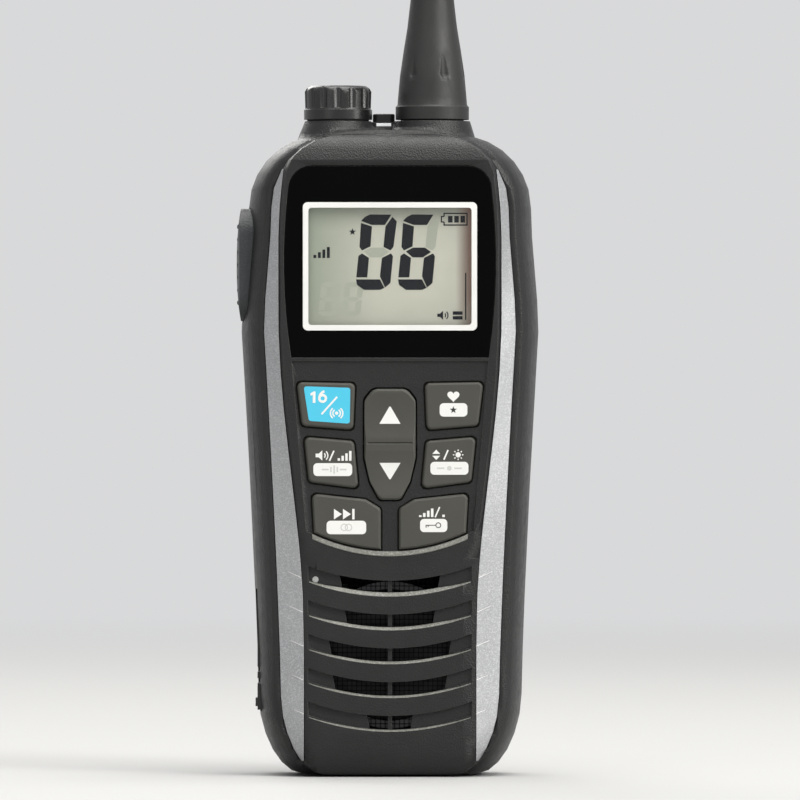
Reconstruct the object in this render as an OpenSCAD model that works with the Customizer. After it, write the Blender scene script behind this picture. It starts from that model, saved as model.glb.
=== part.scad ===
// Handheld marine radio. The front faces -Y, the antenna points up +Z, the foot stands on z = 0.
// The case is two lofted shells with a gasket between them. Everything else is set into them.

/* [Body] */
// Width across the grip, at its widest
body_w = 56.6; // [54:0.1:62]
// Height of the case at its shoulders
body_h = 121.5; // [120:0.5:128]
// Depth from the front panel to the back
body_d = 30.5; // [29.5:0.5:36]
// Width just above the rounded foot corners
foot_w = 50.2; // [48:0.2:52]
// Width just below the shoulder arcs
shoulder_w = 53.8; // [52:0.2:56]
// Height of the widest place of the grip
grip_z = 84; // [76:1:92]
// Radius of the shoulders, seen from the front
shoulder_r = 14; // [11:0.5:16]
// Width of a rounded foot corner
foot_corner_w = 7.9; // [5:0.1:10]
// Height of a rounded foot corner
foot_corner_h = 15; // [10:0.5:18]
// How far the brow curves back at the top
brow_drop = 4.2; // [2:0.1:5]
// Distance from the middle of the depth to the joint of the two shells
part_y = 7; // [6:0.5:8]
// Least thickness of the moulded walls
wall = 2; // [1.4:0.1:2.2]
// Thickness of the side walls at the joint
side_wall = 3.7; // [3.2:0.1:4]
// Thickness of the gasket between the shells
gasket_t = 0.8; // [0.4:0.1:1.2]

/* [Front panel] */
// Width of the black band outside each silver trim
band_w = 4.3; // [3.6:0.1:5]
// Half width to the trim at the foot
trim_low = 16.2; // [15.6:0.1:17]
// Half width to the trim beside the display
trim_high = 21; // [20.4:0.1:21.6]
// Thickness of a silver trim
trim_t = 0.8; // [0.5:0.1:1]
// Gap beside a trim
trim_gap = 0.12; // [0.06:0.02:0.2]
// Half width of the flat speaker panel
flat_hw = 13.8; // [12.8:0.1:14.2]
// Width of the lens at its middle
lens_w = 40.2; // [38:0.2:40.6]
// Lower edge of the lens
lens_z = 79; // [78:0.2:80]
// Height of the lens
lens_h = 36.4; // [35:0.2:37]
// Thickness of the lens
lens_t = 1.2; // [0.8:0.1:1.4]
// Width of the window
window_w = 30.9; // [28:0.1:32]
// Height of the window
window_h = 22.2; // [20:0.1:23]
// Centre height of the window
window_z = 96.3; // [94:0.1:98]
// Width of the white line round the window
border_t = 1.05; // [0.6:0.05:1.4]

/* [Keys] */
// Gap round each key
key_gap = 0.3; // [0.2:0.05:0.4]
// How far the keys stand out of their field
key_proud = 0.8; // [0.6:0.1:1.2]
// Depth of the sunk key field
field_depth = 0.5; // [0.3:0.1:0.8]
// Travel of a key
key_travel = 0.5; // [0.3:0.1:0.6]
// Corner radius of a key
key_r = 1; // [0.6:0.1:1.2]
// Width of the lip that keeps a key in
key_lip = 0.5; // [0.3:0.1:0.6]
// Width of the rocker
rocker_w = 9.7; // [9:0.1:10]
// Length of the rocker
rocker_l = 21; // [20:0.2:21.6]
// Radius of the rocker's pivot stubs
stub_r = 0.7; // [0.5:0.1:0.8]

/* [Speaker] */
// Number of curved louvres
louvres = 5; // [3:1:5]
// Distance from louvre to louvre
louvre_pitch = 6.4; // [6:0.1:6.6]
// Radius of the louvre curves
louvre_r = 45; // [40:1:60]
// Height of a louvre groove
louvre_h = 2.6; // [2:0.1:3]
// Depth of a louvre groove
louvre_d = 1.1; // [0.6:0.1:1.3]
// Lowest point of the top louvre
louvre_z = 34.2; // [33.6:0.1:34.8]
// Diameter of the speaker
speaker_d = 28; // [24:0.5:28.4]
// Diameter of the microphone hole
mic_hole_d = 1.2; // [0.8:0.1:1.6]

/* [Top] */
// Distance of the antenna from the middle
antenna_x = 8.05; // [7.8:0.05:9]
// Distance of the accessory jack from the middle
jack_x = 9.9; // [9.7:0.1:10.5]
// Setting of both behind the middle of the depth
top_y = -1.5; // [-2:0.1:-1]
// Diameter of the antenna collar
collar_d = 14; // [13:0.1:14.2]
// Diameter of the cap over the jack
cap_d = 13; // [12:0.1:13.2]
// Height of the cone under the collar and the cap
cone_h = 2.6; // [2:0.1:3]
// Length of the antenna above its seal
antenna_l = 142; // [110:1:180]
// Number of grip flutes round the cap
flutes = 14; // [10:1:18]
// Diameter of the antenna stud
stud_d = 6.35; // [5.5:0.05:6.6]
// Diameter of the jack collar
jack_d = 9; // [8:0.1:9.4]
// Running gap of the screwed pieces
screw_gap = 0.1; // [0.06:0.01:0.15]

/* [Sides and back] */
// Height of the talk button
ptt_h = 21.4; // [18:0.2:22]
// Width of the talk button
ptt_w = 10; // [8:0.2:10.4]
// Travel of the talk button
ptt_travel = 0.8; // [0.5:0.1:1]
// How far the talk button stands out of the grip
ptt_proud = 0.9; // [0.6:0.1:1.4]
// Height of the charging port cover
port_h = 22.4; // [20:0.2:23]
// Width of the charging port cover
port_w = 9; // [8:0.2:9.6]
// Lower edge of the charging port cover
port_z = 12.1; // [11.6:0.1:13]
// Distance between the two clip screws
clip_pitch = 24; // [18:1:30]
// Diameter of the clip screw holes
clip_hole_d = 3; // [2.5:0.1:3.4]
// Diameter of the case screw heads
screw_head_d = 4.6; // [4:0.1:5]

/* [Inside] */
// Thickness of the main board
board_t = 1.4; // [1:0.1:1.6]
// Room between each side of the battery pack and the outside of the case
battery_room = 10.3; // [9.8:0.1:13]
// Height of the battery pack
battery_h = 62; // [50:1:64]
// Thickness of the battery pack
battery_t = 14.3; // [12:0.1:14.6]

/* [Hidden] */

$fn = 64;
// Heights are drawn for a case 121.5 high, and follow body_h
function at(z) = z * body_h / 121.5;

slip = 0.05;          // flat faces that nearly touch
eps = 0.01;           // overlap of joined shapes
big = 200;

shoulder_z = body_h - shoulder_r;
widest_z = at(grip_z);
lens_low = at(lens_z);
lens_high = at(lens_z + lens_h);
lens_mid = (lens_low + lens_high) / 2;
window_mid = at(window_z);
front_y = -body_d / 2;
back_y = body_d / 2;
field_y = front_y + field_depth;
skin_y = front_y + wall;                  // inner face of the front panel
shelf_y = front_y + 5.45;                 // step that carries the main board
board_y = shelf_y + 0.2;                  // front face of the main board
brow_z = lens_high + 0.4;
deck_z = body_h + 0.8;                    // crown of the top deck
deck_hw = shoulder_w / 2 - shoulder_r - 0.3;
deck_front_y = front_y + brow_drop + 1.05;
cone_z = body_h + cone_h;                 // top of the cones
inner_top = body_h - 2.5;
rim_y = 0;                                // where the side walls begin to curve forward
band_y = front_y + 2.85;                  // surface at the trim's outer edge
trim_y = front_y + 0.6;                   // surface at the trim's inner edge
deep_low = flat_hw + 1;
louvre_top = at(louvre_z);
louvre_step = at(louvre_pitch);
speaker_z = louvre_top - 2 * louvre_step + louvre_h / 2;

// ---- curves ----

function clamp01(t) = max(0, min(1, t));
function smooth(t) = let (u = clamp01(t)) u * u * (3 - 2 * u);
function bulge(t) = 1 - sqrt(1 - pow(clamp01(t), 2));
function mix(a, b, t) = a + (b - a) * t;

// Half width of the case at height z: squarish foot corners, swelling grip, round shoulders
function half_w(z) =
    z < foot_corner_h
        ? foot_w / 2 - foot_corner_w + foot_corner_w * pow(1 - pow(1 - z / foot_corner_h, 1.8), 1 / 1.8)
    : z < widest_z
        ? mix(foot_w, body_w, pow((z - foot_corner_h) / (widest_z - foot_corner_h), 1.3)) / 2
    : z < shoulder_z
        ? mix(body_w, shoulder_w, smooth((z - widest_z) / (shoulder_z - widest_z))) / 2
    : shoulder_w / 2 - shoulder_r + sqrt(max(0, pow(shoulder_r, 2) - pow(z - shoulder_z, 2)));

// Front and back of the case at height z, as a shift from the flat faces
toe_in = 1.6;         // rounding of the front at the foot, and its height
toe_h = 6;
heel_in = 2.5;        // rounding of the back at the foot, and its height
heel_h = 9;
crown_in = 5;         // rounding of the back at the top, and its height
crown_h = 17.5;
function front_in(z) = brow_drop * bulge((z - brow_z) / (body_h - brow_z))
    + toe_in * bulge(1 - z / toe_h);
function back_in(z) = crown_in * bulge((z - body_h + crown_h) / crown_h)
    + heel_in * bulge(1 - z / heel_h);

// Edges of the silver trims and of the flat panel between them
function trim_out(z) = half_w(z) - band_w;
splay_z = at(27);     // where the trims begin to spread, and over which height
splay_h = at(60);
tuck_h = 18.5;        // where they draw in again below the top
field_z = at(41);     // where the flat panel widens below the keys
field_h = at(7);
function trim_in(z) = mix(trim_low, trim_high, smooth((z - splay_z) / splay_h))
    - pow(max(0, z - body_h + tuck_h) / 12, 1.5);
function panel_hw(z) = mix(flat_hw, trim_in(z) - 0.5, smooth((z - field_z) / field_h));

// Heights at which the lofts have a section
levels = concat(
    [for (a = [0 : 15 : 75]) foot_corner_h * (1 - cos(a))],
    [foot_corner_h],
    [for (z = [24, 34, 41, 44.5, 48, 55, 62, 69, 76, 84, 90, 96, 102]) at(z)],
    [shoulder_z],
    [for (a = [15 : 12.5 : 90]) shoulder_z + shoulder_r * sin(a)]);

// Front half of a section, right side, from the joint to the panel edge
function front_side(z) =
    let (w = half_w(z), out = min(trim_out(z), w - 2), in = min(trim_in(z), out - 0.4), d = front_in(z))
    concat(
        [[w, part_y]],
        [for (a = [0 : 15 : 90]) [mix(out, w, cos(a)), rim_y + (band_y + d - rim_y) * sin(a)]],
        [[in, trim_y + d], [min(panel_hw(z), in - 0.3), front_y + d]]);

// Back half of a section, right side, from the joint to the flat back
function back_side(z) =
    let (w = half_w(z), y0 = part_y + gasket_t, y1 = back_y - back_in(z))
    concat([for (a = [0 : 12.857 : 90.1]) [w - 8 + 8 * cos(a), y0 + (y1 - y0) * sin(a)]]);

function reverse(p) = [for (i = [len(p) - 1 : -1 : 0]) p[i]];
function flip_x(p) = [for (q = p) [-q[0], q[1]]];
function front_ring(z) = concat(flip_x(front_side(z)), reverse(front_side(z)));
function back_ring(z) = concat(back_side(z), reverse(flip_x(back_side(z))));

// A solid through closed rings, one ring per height. Seen from above the rings run anticlockwise.
// They have equal counts, and their two halves go up in y together, so an end is closed by strips.
module loft(rings, heights) {
    n = len(rings[0]);
    m = len(rings);
    points = [for (k = [0 : m - 1]) for (p = rings[k]) [p[0], p[1], heights[k]]];
    sides = [for (k = [0 : m - 2]) for (i = [0 : n - 1])
        let (j = (i + 1) % n) [k * n + i, (k + 1) * n + i, (k + 1) * n + j, k * n + j]];
    split = concat([for (q = sides) [q[0], q[1], q[2]]], [for (q = sides) [q[0], q[2], q[3]]]);
    foot = [for (i = [0 : n / 2 - 2]) [i, i + 1, n - 2 - i, n - 1 - i]];
    head = [for (q = foot) [for (i = [3 : -1 : 0]) (m - 1) * n + q[i]]];
    polyhedron(points, concat(split, foot, head));
}

// ---- flat shapes, drawn as x and z and pushed along y ----

// Extrudes a drawing in x and z from y0 to y1
module slab(y0, y1) {
    translate([0, y1, 0]) rotate([90, 0, 0]) linear_extrude(y1 - y0) children();
}

// Points of a polygon with its corners rounded to the radii r
function rounded(p, r, n = 5) = [for (i = [0 : len(p) - 1])
    let (a = p[(i + len(p) - 1) % len(p)], b = p[i], c = p[(i + 1) % len(p)],
        u = (a - b) / norm(a - b), v = (c - b) / norm(c - b),
        half = acos(max(-1, min(1, u * v))) / 2,
        q = is_list(r) ? r[i] : r,
        t = q / tan(half), mid = b + (u + v) / norm(u + v) * q / sin(half),
        s = b + u * t, e = b + v * t)
    for (k = [0 : n]) let (w = s + (e - s) * k / n) mid + (w - mid) / norm(w - mid) * q];

function rect(w, h, z = 0, x = 0) = [[x - w / 2, z - h / 2], [x + w / 2, z - h / 2],
    [x + w / 2, z + h / 2], [x - w / 2, z + h / 2]];

module rounded_rect(w, h, r, z = 0, x = 0) {
    polygon(rounded(rect(w, h, z, x), r));
}

// Outline of the case drawn in by d, between heights z0 and z1
module case_outline(d, z0, z1) {
    zs = concat([z0], [for (z = levels) if (z > z0 + 0.5 && z < z1 - 0.5) z], [z1]);
    right = [for (z = zs) [half_w(z) - d, z]];
    polygon(concat(right, [for (i = [len(zs) - 1 : -1 : 0]) [-right[i][0], right[i][1]]]));
}

// A round pin or hole along x, y or z
module along_x(r, x0, x1, y, z) {
    translate([x0, y, z]) rotate([0, 90, 0]) cylinder(r = r, h = x1 - x0);
}
module along_y(r, y0, y1, x, z) {
    translate([x, y1, z]) rotate([90, 0, 0]) cylinder(r = r, h = y1 - y0);
}
module along_z(r, z0, z1, x, y) {
    translate([x, y, z0]) cylinder(r = r, h = z1 - z0);
}
module block(x0, x1, y0, y1, z0, z1) {
    translate([x0, y0, z0]) cube([x1 - x0, y1 - y0, z1 - z0]);
}

// ---- trims ----

trim_bottom = 2.6;
trim_top = body_h - 6.8;
trim_zs = concat([trim_bottom, 3.4, 5, 8, 11],
    [for (z = levels) if (z > 13 && z < trim_top - 1) z], [trim_top]);

// One trim or its channel: g is the gap at its edges, back the depth of its floor
module trim_shape(g, back, rise) {
    rings = [for (z = trim_zs)
        let (out = trim_out(z), in = min(trim_in(z), out - 0.4), t = g / (out - in),
            yi = mix(trim_y, band_y, t) + front_in(z), yo = mix(band_y, trim_y, t) + front_in(z))
        [[in + g, yi - rise], [out - g, yo - rise], [out - g, yo + back], [in + g, yi + back]]];
    loft(rings, trim_zs);
}

module trim_left() {
    color("silver") mirror([1, 0, 0]) trim_shape(trim_gap, trim_t - slip, 0.1);
}
module trim_right() {
    color("silver") trim_shape(trim_gap, trim_t - slip, 0.1);
}

// ---- display ----

lens_sag = 1.4;
lens_cut = 4.5;       // radius of the lens's top corners
function lens_x(z, d) = lens_w / 2 - d - lens_sag * pow((z - lens_mid) / (lens_mid - lens_low), 2);

// Outline of the lens, drawn in by d, with bowed sides and wide top corners
module lens_outline(d) {
    z0 = lens_low + d;
    z1 = lens_high - d;
    side = [for (t = [0 : 0.125 : 1]) let (z = mix(z0, z1 - lens_cut, t)) [lens_x(z, d), z]];
    x1 = lens_x(z1 - lens_cut, d);
    arc = [for (a = [15 : 15 : 90]) [x1 - lens_cut, z1 - lens_cut] + lens_cut * [cos(a), sin(a)]];
    right = concat(side, arc);
    polygon(concat(right, [for (i = [len(right) - 1 : -1 : 0]) [-right[i][0], right[i][1]]]));
}

window_r = 0.6;       // corner radius of the window
border_r = 0.9;       // corner radius of the white line round it
border_deep = 0.25;   // depth to which the line is inlaid
inlay = 0.02;         // hair gaps of the inlaid pieces
glass_t = 1.6;        // thickness of the display panel
glass_rim = 2.3;      // how far the panel reaches behind the window's edge

// The window grown by d, at the display's height
module window_shape(d, r) {
    rounded_rect(window_w + 2 * d, at(window_h) + 2 * d, r, window_mid);
}

module lens_surround() {
    color([0.02, 0.02, 0.02]) difference() {
        slab(front_y, front_y + lens_t) lens_outline(0.1);
        slab(front_y - 1, front_y + border_deep) window_shape(border_t, border_r);
        slab(front_y - 1, back_y) window_shape(0, window_r);
    }
}

module lens_border() {
    color("white") slab(front_y + inlay, front_y + border_deep) difference() {
        window_shape(border_t - inlay / 2, border_r);
        window_shape(0, window_r);
    }
}

module display_window() {
    color([0.8, 0.85, 0.8, 0.35]) slab(front_y + slip, front_y + lens_t) window_shape(-inlay, window_r);
}

module lcd_panel() {
    color([0.72, 0.74, 0.68]) slab(skin_y + slip, skin_y + glass_t) window_shape(glass_rim, 0.5);
}

module lcd_backlight() {
    color("white") slab(skin_y + glass_t, board_y - slip) window_shape(glass_rim - 0.5, 0.5);
}

// ---- keys ----

key_top_y = field_y - key_proud;
lip_y = skin_y + 0.1;                     // front of the retaining lip
lip_t = 0.7;
key_back_y = lip_y + lip_t;
mat_y = key_back_y + key_travel + 0.05;   // top of the mat's domes
field_arc_r = 34;
field_arc_z = at(42.7) + field_arc_r;
rocker_z = at(62.6);
rocker_len = at(rocker_l);
key_edge = 0.35;                          // sloped edge of a key's top

// Corner points of the right-hand keys. The left-hand keys are their mirror images.
function key_points(p) = [for (q = p) [q[0], at(q[1])]];
upper_key = key_points([[6.95, 65.3], [16.7, 66.1], [17.7, 74.4], [6.55, 74.2]]);
middle_key = key_points([[5.95, 54.2], [15.4, 55.45], [16.3, 64.05], [6.8, 63.25]]);
lower_key = key_points([[1.72, 41], [14.1, 41], [14.8, 53.3], [4.6, 52.2], [1.72, 50.45]]);

module key_outline(p, d, arc = false) {
    intersection() {
        offset_outline(p, d);
        if (arc) translate([0, field_arc_z]) circle(r = field_arc_r + d, $fn = 128);
    }
}

// The rounded polygon p grown by d
module offset_outline(p, d) {
    n = len(p);
    grown = [for (i = [0 : n - 1])
        let (a = p[(i + n - 1) % n], b = p[i], c = p[(i + 1) % n],
            u = (b - a) / norm(b - a), v = (c - b) / norm(c - b),
            nu = [u[1], -u[0]], nv = [v[1], -v[0]])
        b + (nu + nv) / norm(nu + nv) * d / sqrt((1 + nu * nv) / 2)];
    polygon(rounded(grown, key_r + min(d, 0)));
}

// A key: crowned cap, shank through the panel and a lip behind it
module key_solid(p, arc = false) {
    hull() {
        slab(key_top_y + key_edge, field_y) key_outline(p, 0, arc);
        slab(key_top_y, field_y) key_outline(p, -key_edge, arc);
    }
    slab(field_y - eps, lip_y + eps) key_outline(p, 0, arc);
    slab(lip_y, key_back_y) key_outline(p, key_lip, arc);
}

module key_call() {
    color([0.16, 0.55, 0.82]) mirror([1, 0, 0]) key_solid(upper_key);
}
module key_favourite() {
    color([0.27, 0.27, 0.25]) key_solid(upper_key);
}
module key_volume() {
    color([0.27, 0.27, 0.25]) mirror([1, 0, 0]) key_solid(middle_key);
}
module key_channel() {
    color([0.27, 0.27, 0.25]) key_solid(middle_key);
}
module key_scan() {
    color([0.27, 0.27, 0.25]) mirror([1, 0, 0]) key_solid(lower_key, true);
}
module key_power_level() {
    color([0.27, 0.27, 0.25]) key_solid(lower_key, true);
}

// Outline of the rocker: round top, waisted foot
module rocker_outline(d) {
    w = rocker_w / 2 + d;
    top = rocker_z + rocker_len / 2 + d;
    low = rocker_z - rocker_len / 2 - d;
    polygon(rounded([[w * 0.42, low], [w * 0.78, low + 3.4], [w, low + 8], [w, top - 2.2], [w * 0.66, top],
        [-w * 0.66, top], [-w, top - 2.2], [-w, low + 8], [-w * 0.78, low + 3.4], [-w * 0.42, low]],
        [1.2, 3, 4, 1.6, 2, 2, 1.6, 4, 3, 1.2]));
}

pivot_y = skin_y + 1;                     // axis of the rocker
stub_x = rocker_w / 2 + 1.15;             // ends of its stubs
dish_r = 30;                              // radius of its two dishes
dish_deep = 0.3;
dish_shift = 5.4;                         // from its middle to the middle of a dish
module key_rocker() {
    color([0.27, 0.27, 0.25]) {
        difference() {
            hull() {
                slab(key_top_y + key_edge, field_y) rocker_outline(0);
                slab(key_top_y, field_y) rocker_outline(-key_edge);
            }
            // shallow dishes above and below the ridge
            for (s = [-1, 1]) translate([0, key_top_y - dish_r + dish_deep, rocker_z + s * dish_shift])
                rotate([0, 90, 0]) cylinder(r = dish_r, h = big, center = true, $fn = 180);
        }
        slab(field_y - eps, pivot_y + 0.4) rocker_outline(0);
        along_x(stub_r, -stub_x, stub_x, pivot_y, rocker_z);
    }
}

// Silicone mat with a dome behind each key
mat_floor_y = mat_y + 0.9;
dome_spots = key_points([[12, 70], [11, 59.3], [8.4, 48]]);
dome_r = 2.2;
module key_mat() {
    right = key_points([[15.2, 43], [18, 76.4]]);
    color([0.15, 0.15, 0.15]) {
        slab(mat_floor_y, board_y - slip) polygon(rounded(concat(flip_x(reverse(right)), right), 1.5));
        for (s = [-1, 1], p = dome_spots) along_y(dome_r, mat_y, mat_floor_y + eps, s * p[0], p[1]);
        for (s = [-1, 1])
            along_y(dome_r - 0.6, mat_y + 0.55, mat_floor_y + eps, 0, rocker_z + s * rocker_len / 3);
    }
}

// ---- front case ----

// The arc band of louvre k: a ring between two circles, kept to the lower middle
module louvre_band(k, up, hw) {
    z = louvre_top - k * louvre_step;
    intersection() {
        translate([0, z + louvre_r]) difference() {
            circle(r = louvre_r, $fn = 180);
            translate([0, up]) circle(r = louvre_r, $fn = 180);
        }
        translate([-hw, z - 1]) square([2 * hw, 8]);
    }
}

slot_hw = [9.9, 9, 11.9, 11.2, 4.9];      // half widths of the openings, from the top
rib_w = 0.8;
slant = 1.2;                              // how far their ends lean in at the foot
ledge = 0.4;                              // lower ledge of a groove, which catches the light
groove_hw = trim_low - 0.7;
mic_x = -14.1;
mic_z = at(37);
mic_r = 1.6;

// The opening of louvre k, in two halves beside the centre rib, with slanted ends
module louvre_slot(k) {
    z = louvre_top - k * louvre_step;
    hw = slot_hw[k];
    intersection() {
        louvre_band(k, louvre_h, hw);
        union() for (s = [-1, 1])
            polygon([[s * rib_w / 2, z - 1], [s * (hw - slant), z - 1], [s * hw, z + 6], [s * rib_w / 2, z + 6]]);
    }
}

function deep_hw(z) = z < at(42) ? deep_low : trim_in(z) - 1.6;

// The room behind the front panel
module deep_room() {
    zs = concat([5], [for (z = [40, 42, 48, 55, 62, 69, 76, 84, 95, 104]) at(z)], [lens_high - 1.6]);
    right = [for (z = zs) [deep_hw(z), z]];
    polygon(concat(right, [for (i = [len(zs) - 1 : -1 : 0]) [-right[i][0], right[i][1]]]));
}

// The sunk field of the keys, with its curved foot
module key_field(d) {
    intersection() {
        polygon([[-15.3 - d, at(40)], [15.3 + d, at(40)], [18.6 + d, lens_low - 0.6],
            [-18.6 - d, lens_low - 0.6]]);
        translate([0, field_arc_z]) circle(r = field_arc_r + 0.35 + d, $fn = 128);
    }
}

ptt_z = at(96.7);
ptt_y = -3;
ptt_wall_x = half_w(widest_z) - side_wall;
ptt_room = 2;                             // room round the button behind the wall
port_y = -1;
port_x = half_w(port_z + port_h / 2);     // surface of the case at the port
port_floor_x = port_x - 1.9;
port_pin_r = 0.5;
port_axis_x = port_x - 1;
port_axis_z = port_z + port_h - 0.9;
usb_z = port_z + 10.6;                    // middle of the charging socket
usb_hh = 4.3;                             // half its height

// The side pocket and window of the talk button, on the left side
module ptt_cut() {
    translate([-big / 2, ptt_y, ptt_z]) rotate([0, 90, 0]) linear_extrude(big / 2 - ptt_wall_x + 1)
        ptt_plan(key_gap);
    block(-ptt_wall_x, -board_hw - 0.2, ptt_y - ptt_w / 2 - ptt_room, ptt_y + ptt_w / 2 + ptt_room,
        ptt_z - ptt_h / 2 - ptt_room, ptt_z + ptt_h / 2 + ptt_room);
}

module port_cut() {
    block(-big / 2, -port_floor_x, port_y - port_w / 2 - 0.2, port_y + port_w / 2 + 0.2,
        port_z - 0.2, port_z + port_h + 0.6);
    block(-port_floor_x - 1, -15, port_y - 1.6, port_y + 1.6, usb_z - usb_hh - 0.4, usb_z + usb_hh + 0.4);
    along_y(port_pin_r, port_y - port_w / 2 - 1.4, port_y + port_w / 2 + 1.4, -port_axis_x, port_axis_z);
}

power_x = -1.2;
power_y = 2.7;
power_w = 4.2;
power_d = 4;
power_top = body_h + 4.1;
power_boss = body_h + 2.5;

module front_shell() {
    loft([for (z = levels) front_ring(z)], levels);
}

// The shell with its trim channels, the crowned top deck and the cones of the cap and the antenna
module front_body() {
    difference() {
        front_shell();
        trim_shape(0, trim_t + slip, 5);
        mirror([1, 0, 0]) trim_shape(0, trim_t + slip, 5);
    }
    slab(deck_front_y, part_y) polygon(concat([[deck_hw, body_h - 1]],
        [for (t = [1 : -0.2 : -1.1]) [deck_hw * t, mix(deck_z, body_h - 0.15, t * t)]],
        [[-deck_hw, body_h - 1]]));
    translate([antenna_x, top_y, body_h - 1]) cylinder(r1 = 8.3, r2 = collar_d / 2 + 0.2, h = cone_h + 1);
    translate([-jack_x, top_y, body_h - 1]) cylinder(r1 = 7.8, r2 = cap_d / 2 - 0.2, h = cone_h + 1);
    block(power_x - power_w / 2 - 0.7, power_x + power_w / 2 + 0.7, power_y - power_d / 2 - 0.8,
        power_y + power_d / 2 + 0.8, body_h - 1, power_boss);
}

module room_cuts() {
    slab(shelf_y, part_y + 1) case_outline(side_wall, 3.5, inner_top);
    slab(skin_y, shelf_y + 1) deep_room();
    along_y(speaker_d / 2 + 0.3, skin_y, shelf_y + 1, 0, speaker_z);
}

// Lens seat, window and key field with its holes
module face_cuts() {
    slab(front_y - 1, front_y + lens_t + slip) lens_outline(0);
    slab(front_y - 1, skin_y + 1) window_shape(window_r, 0.8);
    slab(front_y - 1, field_y) key_field(0);
    for (s = [0, 1]) mirror([s, 0, 0]) {
        slab(front_y - 1, skin_y + 1) key_outline(upper_key, key_gap);
        slab(front_y - 1, skin_y + 1) key_outline(middle_key, key_gap);
        slab(front_y - 1, skin_y + 1) key_outline(lower_key, key_gap, true);
    }
    slab(front_y - 1, skin_y + 1) rocker_outline(key_gap);
}

// Each louvre is a groove with a lower ledge that catches the light, and a slot in two halves
module louvre_cuts() {
    for (k = [0 : louvres - 1]) {
        slab(front_y - 1, front_y + louvre_d) louvre_band(k, louvre_h, groove_hw);
        slab(front_y - 1, front_y + louvre_d / 2)
            translate([0, -ledge]) louvre_band(k, louvre_h, groove_hw);
        slab(front_y - 1, skin_y + 1) louvre_slot(k);
    }
    along_y(mic_hole_d / 2, front_y - 1, skin_y + 2, mic_x, mic_z);
    along_y(mic_r + slip, skin_y - 0.3, skin_y + 3, mic_x, mic_z);
}

module top_cuts() {
    along_z(stud_d / 2 + slip, inner_top - 1, cone_z + 1, antenna_x, top_y);
    along_z(jack_d / 2 + slip, inner_top - 1, cone_z + 1, -jack_x, top_y);
    translate([power_x, power_y, inner_top - 1]) linear_extrude(big) polygon(
        rounded(rect(power_w + 0.5, power_d + 0.5), 1.2));
    block(power_x - 1.45, power_x + 1.45, power_y - power_d / 2 - 2, power_y - power_d / 2 - 0.3,
        power_boss - 0.8, power_boss - 0.2);
}

// Lugs behind the panel that carry the rocker's stubs
module rocker_lugs() {
    for (s = [-1, 1]) block(s * (stub_x - 0.4) - 0.35, s * (stub_x - 0.4) + 0.35,
        skin_y - eps, skin_y + 2, rocker_z - 1.3, rocker_z + 1.3);
}

module front_case() {
    color([0.13, 0.13, 0.13]) difference() {
        union() {
            difference() {
                front_body();
                room_cuts();
                face_cuts();
                louvre_cuts();
                top_cuts();
                ptt_cut();
                port_cut();
            }
            rocker_lugs();
            front_posts();
        }
        case_screw_holes();
        along_x(stub_r + slip, -stub_x - 1, stub_x + 1, pivot_y, rocker_z);
    }
}

// ---- rear case ----

screw_spots = [[foot_w / 2 - 7.5, 7.6], [shoulder_w / 2 - 7.3, at(112.2)]];
post_r = 3;                               // radius of the screw posts
screw_r = 1;                              // radius of a screw's hole
clip_z = at(84);                          // middle of the belt clip's seat
clip_seat_w = 20;
clip_seat_deep = 0.6;
insert_wall = 0.75;                       // wall of a threaded insert
rib_z = 22;                               // lowest grip rib, their pitch, height and depth
rib_pitch = 4;
rib_h = 1.4;
rib_deep = 0.5;
module screw_places() {
    for (s = [-1, 1], p = screw_spots) translate([s * p[0], 0, p[1]]) children();
}
module front_posts() {
    screw_places() along_y(post_r, shelf_y - 0.5, part_y, 0, 0);
    for (z = [port_z + 1.6, port_z + port_h - 0.6])
        along_y(1.6, shelf_y - 0.5, usb_y, -(port_x - 6.5), z);
}
module case_screw_holes() {
    screw_places() along_y(screw_r, part_y - 9, part_y + 1, 0, 0);
}

module rear_case() {
    color([0.13, 0.13, 0.13]) difference() {
        union() {
            difference() {
                loft([for (z = levels) back_ring(z)], levels);
                slab(part_y, back_y - wall) case_outline(side_wall + 1.6, 5, body_h - 9.5);
            }
            screw_places() along_y(post_r + 0.6, part_y + gasket_t, back_y - wall + 0.2, 0, 0);
            clip_places() along_y(clip_hole_d / 2 + 1.9, clip_boss_y, back_y - wall + 0.2, 0, 0);
        }
        screw_places() {
            along_y(1.4, part_y, back_y + 1, 0, 0);
            along_y(screw_head_d / 2 + 0.2, back_y - 5, back_y + 1, 0, 0);
        }
        // sunk seat of a belt clip with its two threaded inserts
        slab(back_y - clip_seat_deep, back_y + 1) rounded_rect(clip_seat_w, clip_pitch + 14, 3, clip_z);
        clip_places() along_y(clip_hole_d / 2 + insert_wall, clip_boss_y - 1, back_y + 1, 0, 0);
        // grip ribs
        for (s = [-1, 1], k = [0 : 8]) slab(back_y - rib_deep, back_y + 1)
            rounded_rect(15, rib_h, 0.6, rib_z + k * rib_pitch, s * 9.5);
    }
}

clip_boss_y = back_y - wall - 2.4;
module clip_places() {
    for (s = [-1, 1]) translate([0, 0, clip_z + s * clip_pitch / 2]) children();
}
module clip_inserts() {
    color("goldenrod") clip_places() difference() {
        along_y(clip_hole_d / 2 + insert_wall - 0.02, clip_boss_y, back_y - clip_seat_deep, 0, 0);
        along_y(clip_hole_d / 2, clip_boss_y - 1, back_y, 0, 0);
    }
}

module case_screws() {
    color("dimgray") screw_places() {
        along_y(0.98, part_y - 8, back_y - 4.9, 0, 0);
        difference() {
            along_y(screw_head_d / 2, back_y - 5, back_y - 3.4, 0, 0);
            along_y(1.1, back_y - 4.2, back_y - 3, 0, 0, $fn = 6);
        }
    }
}

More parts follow.
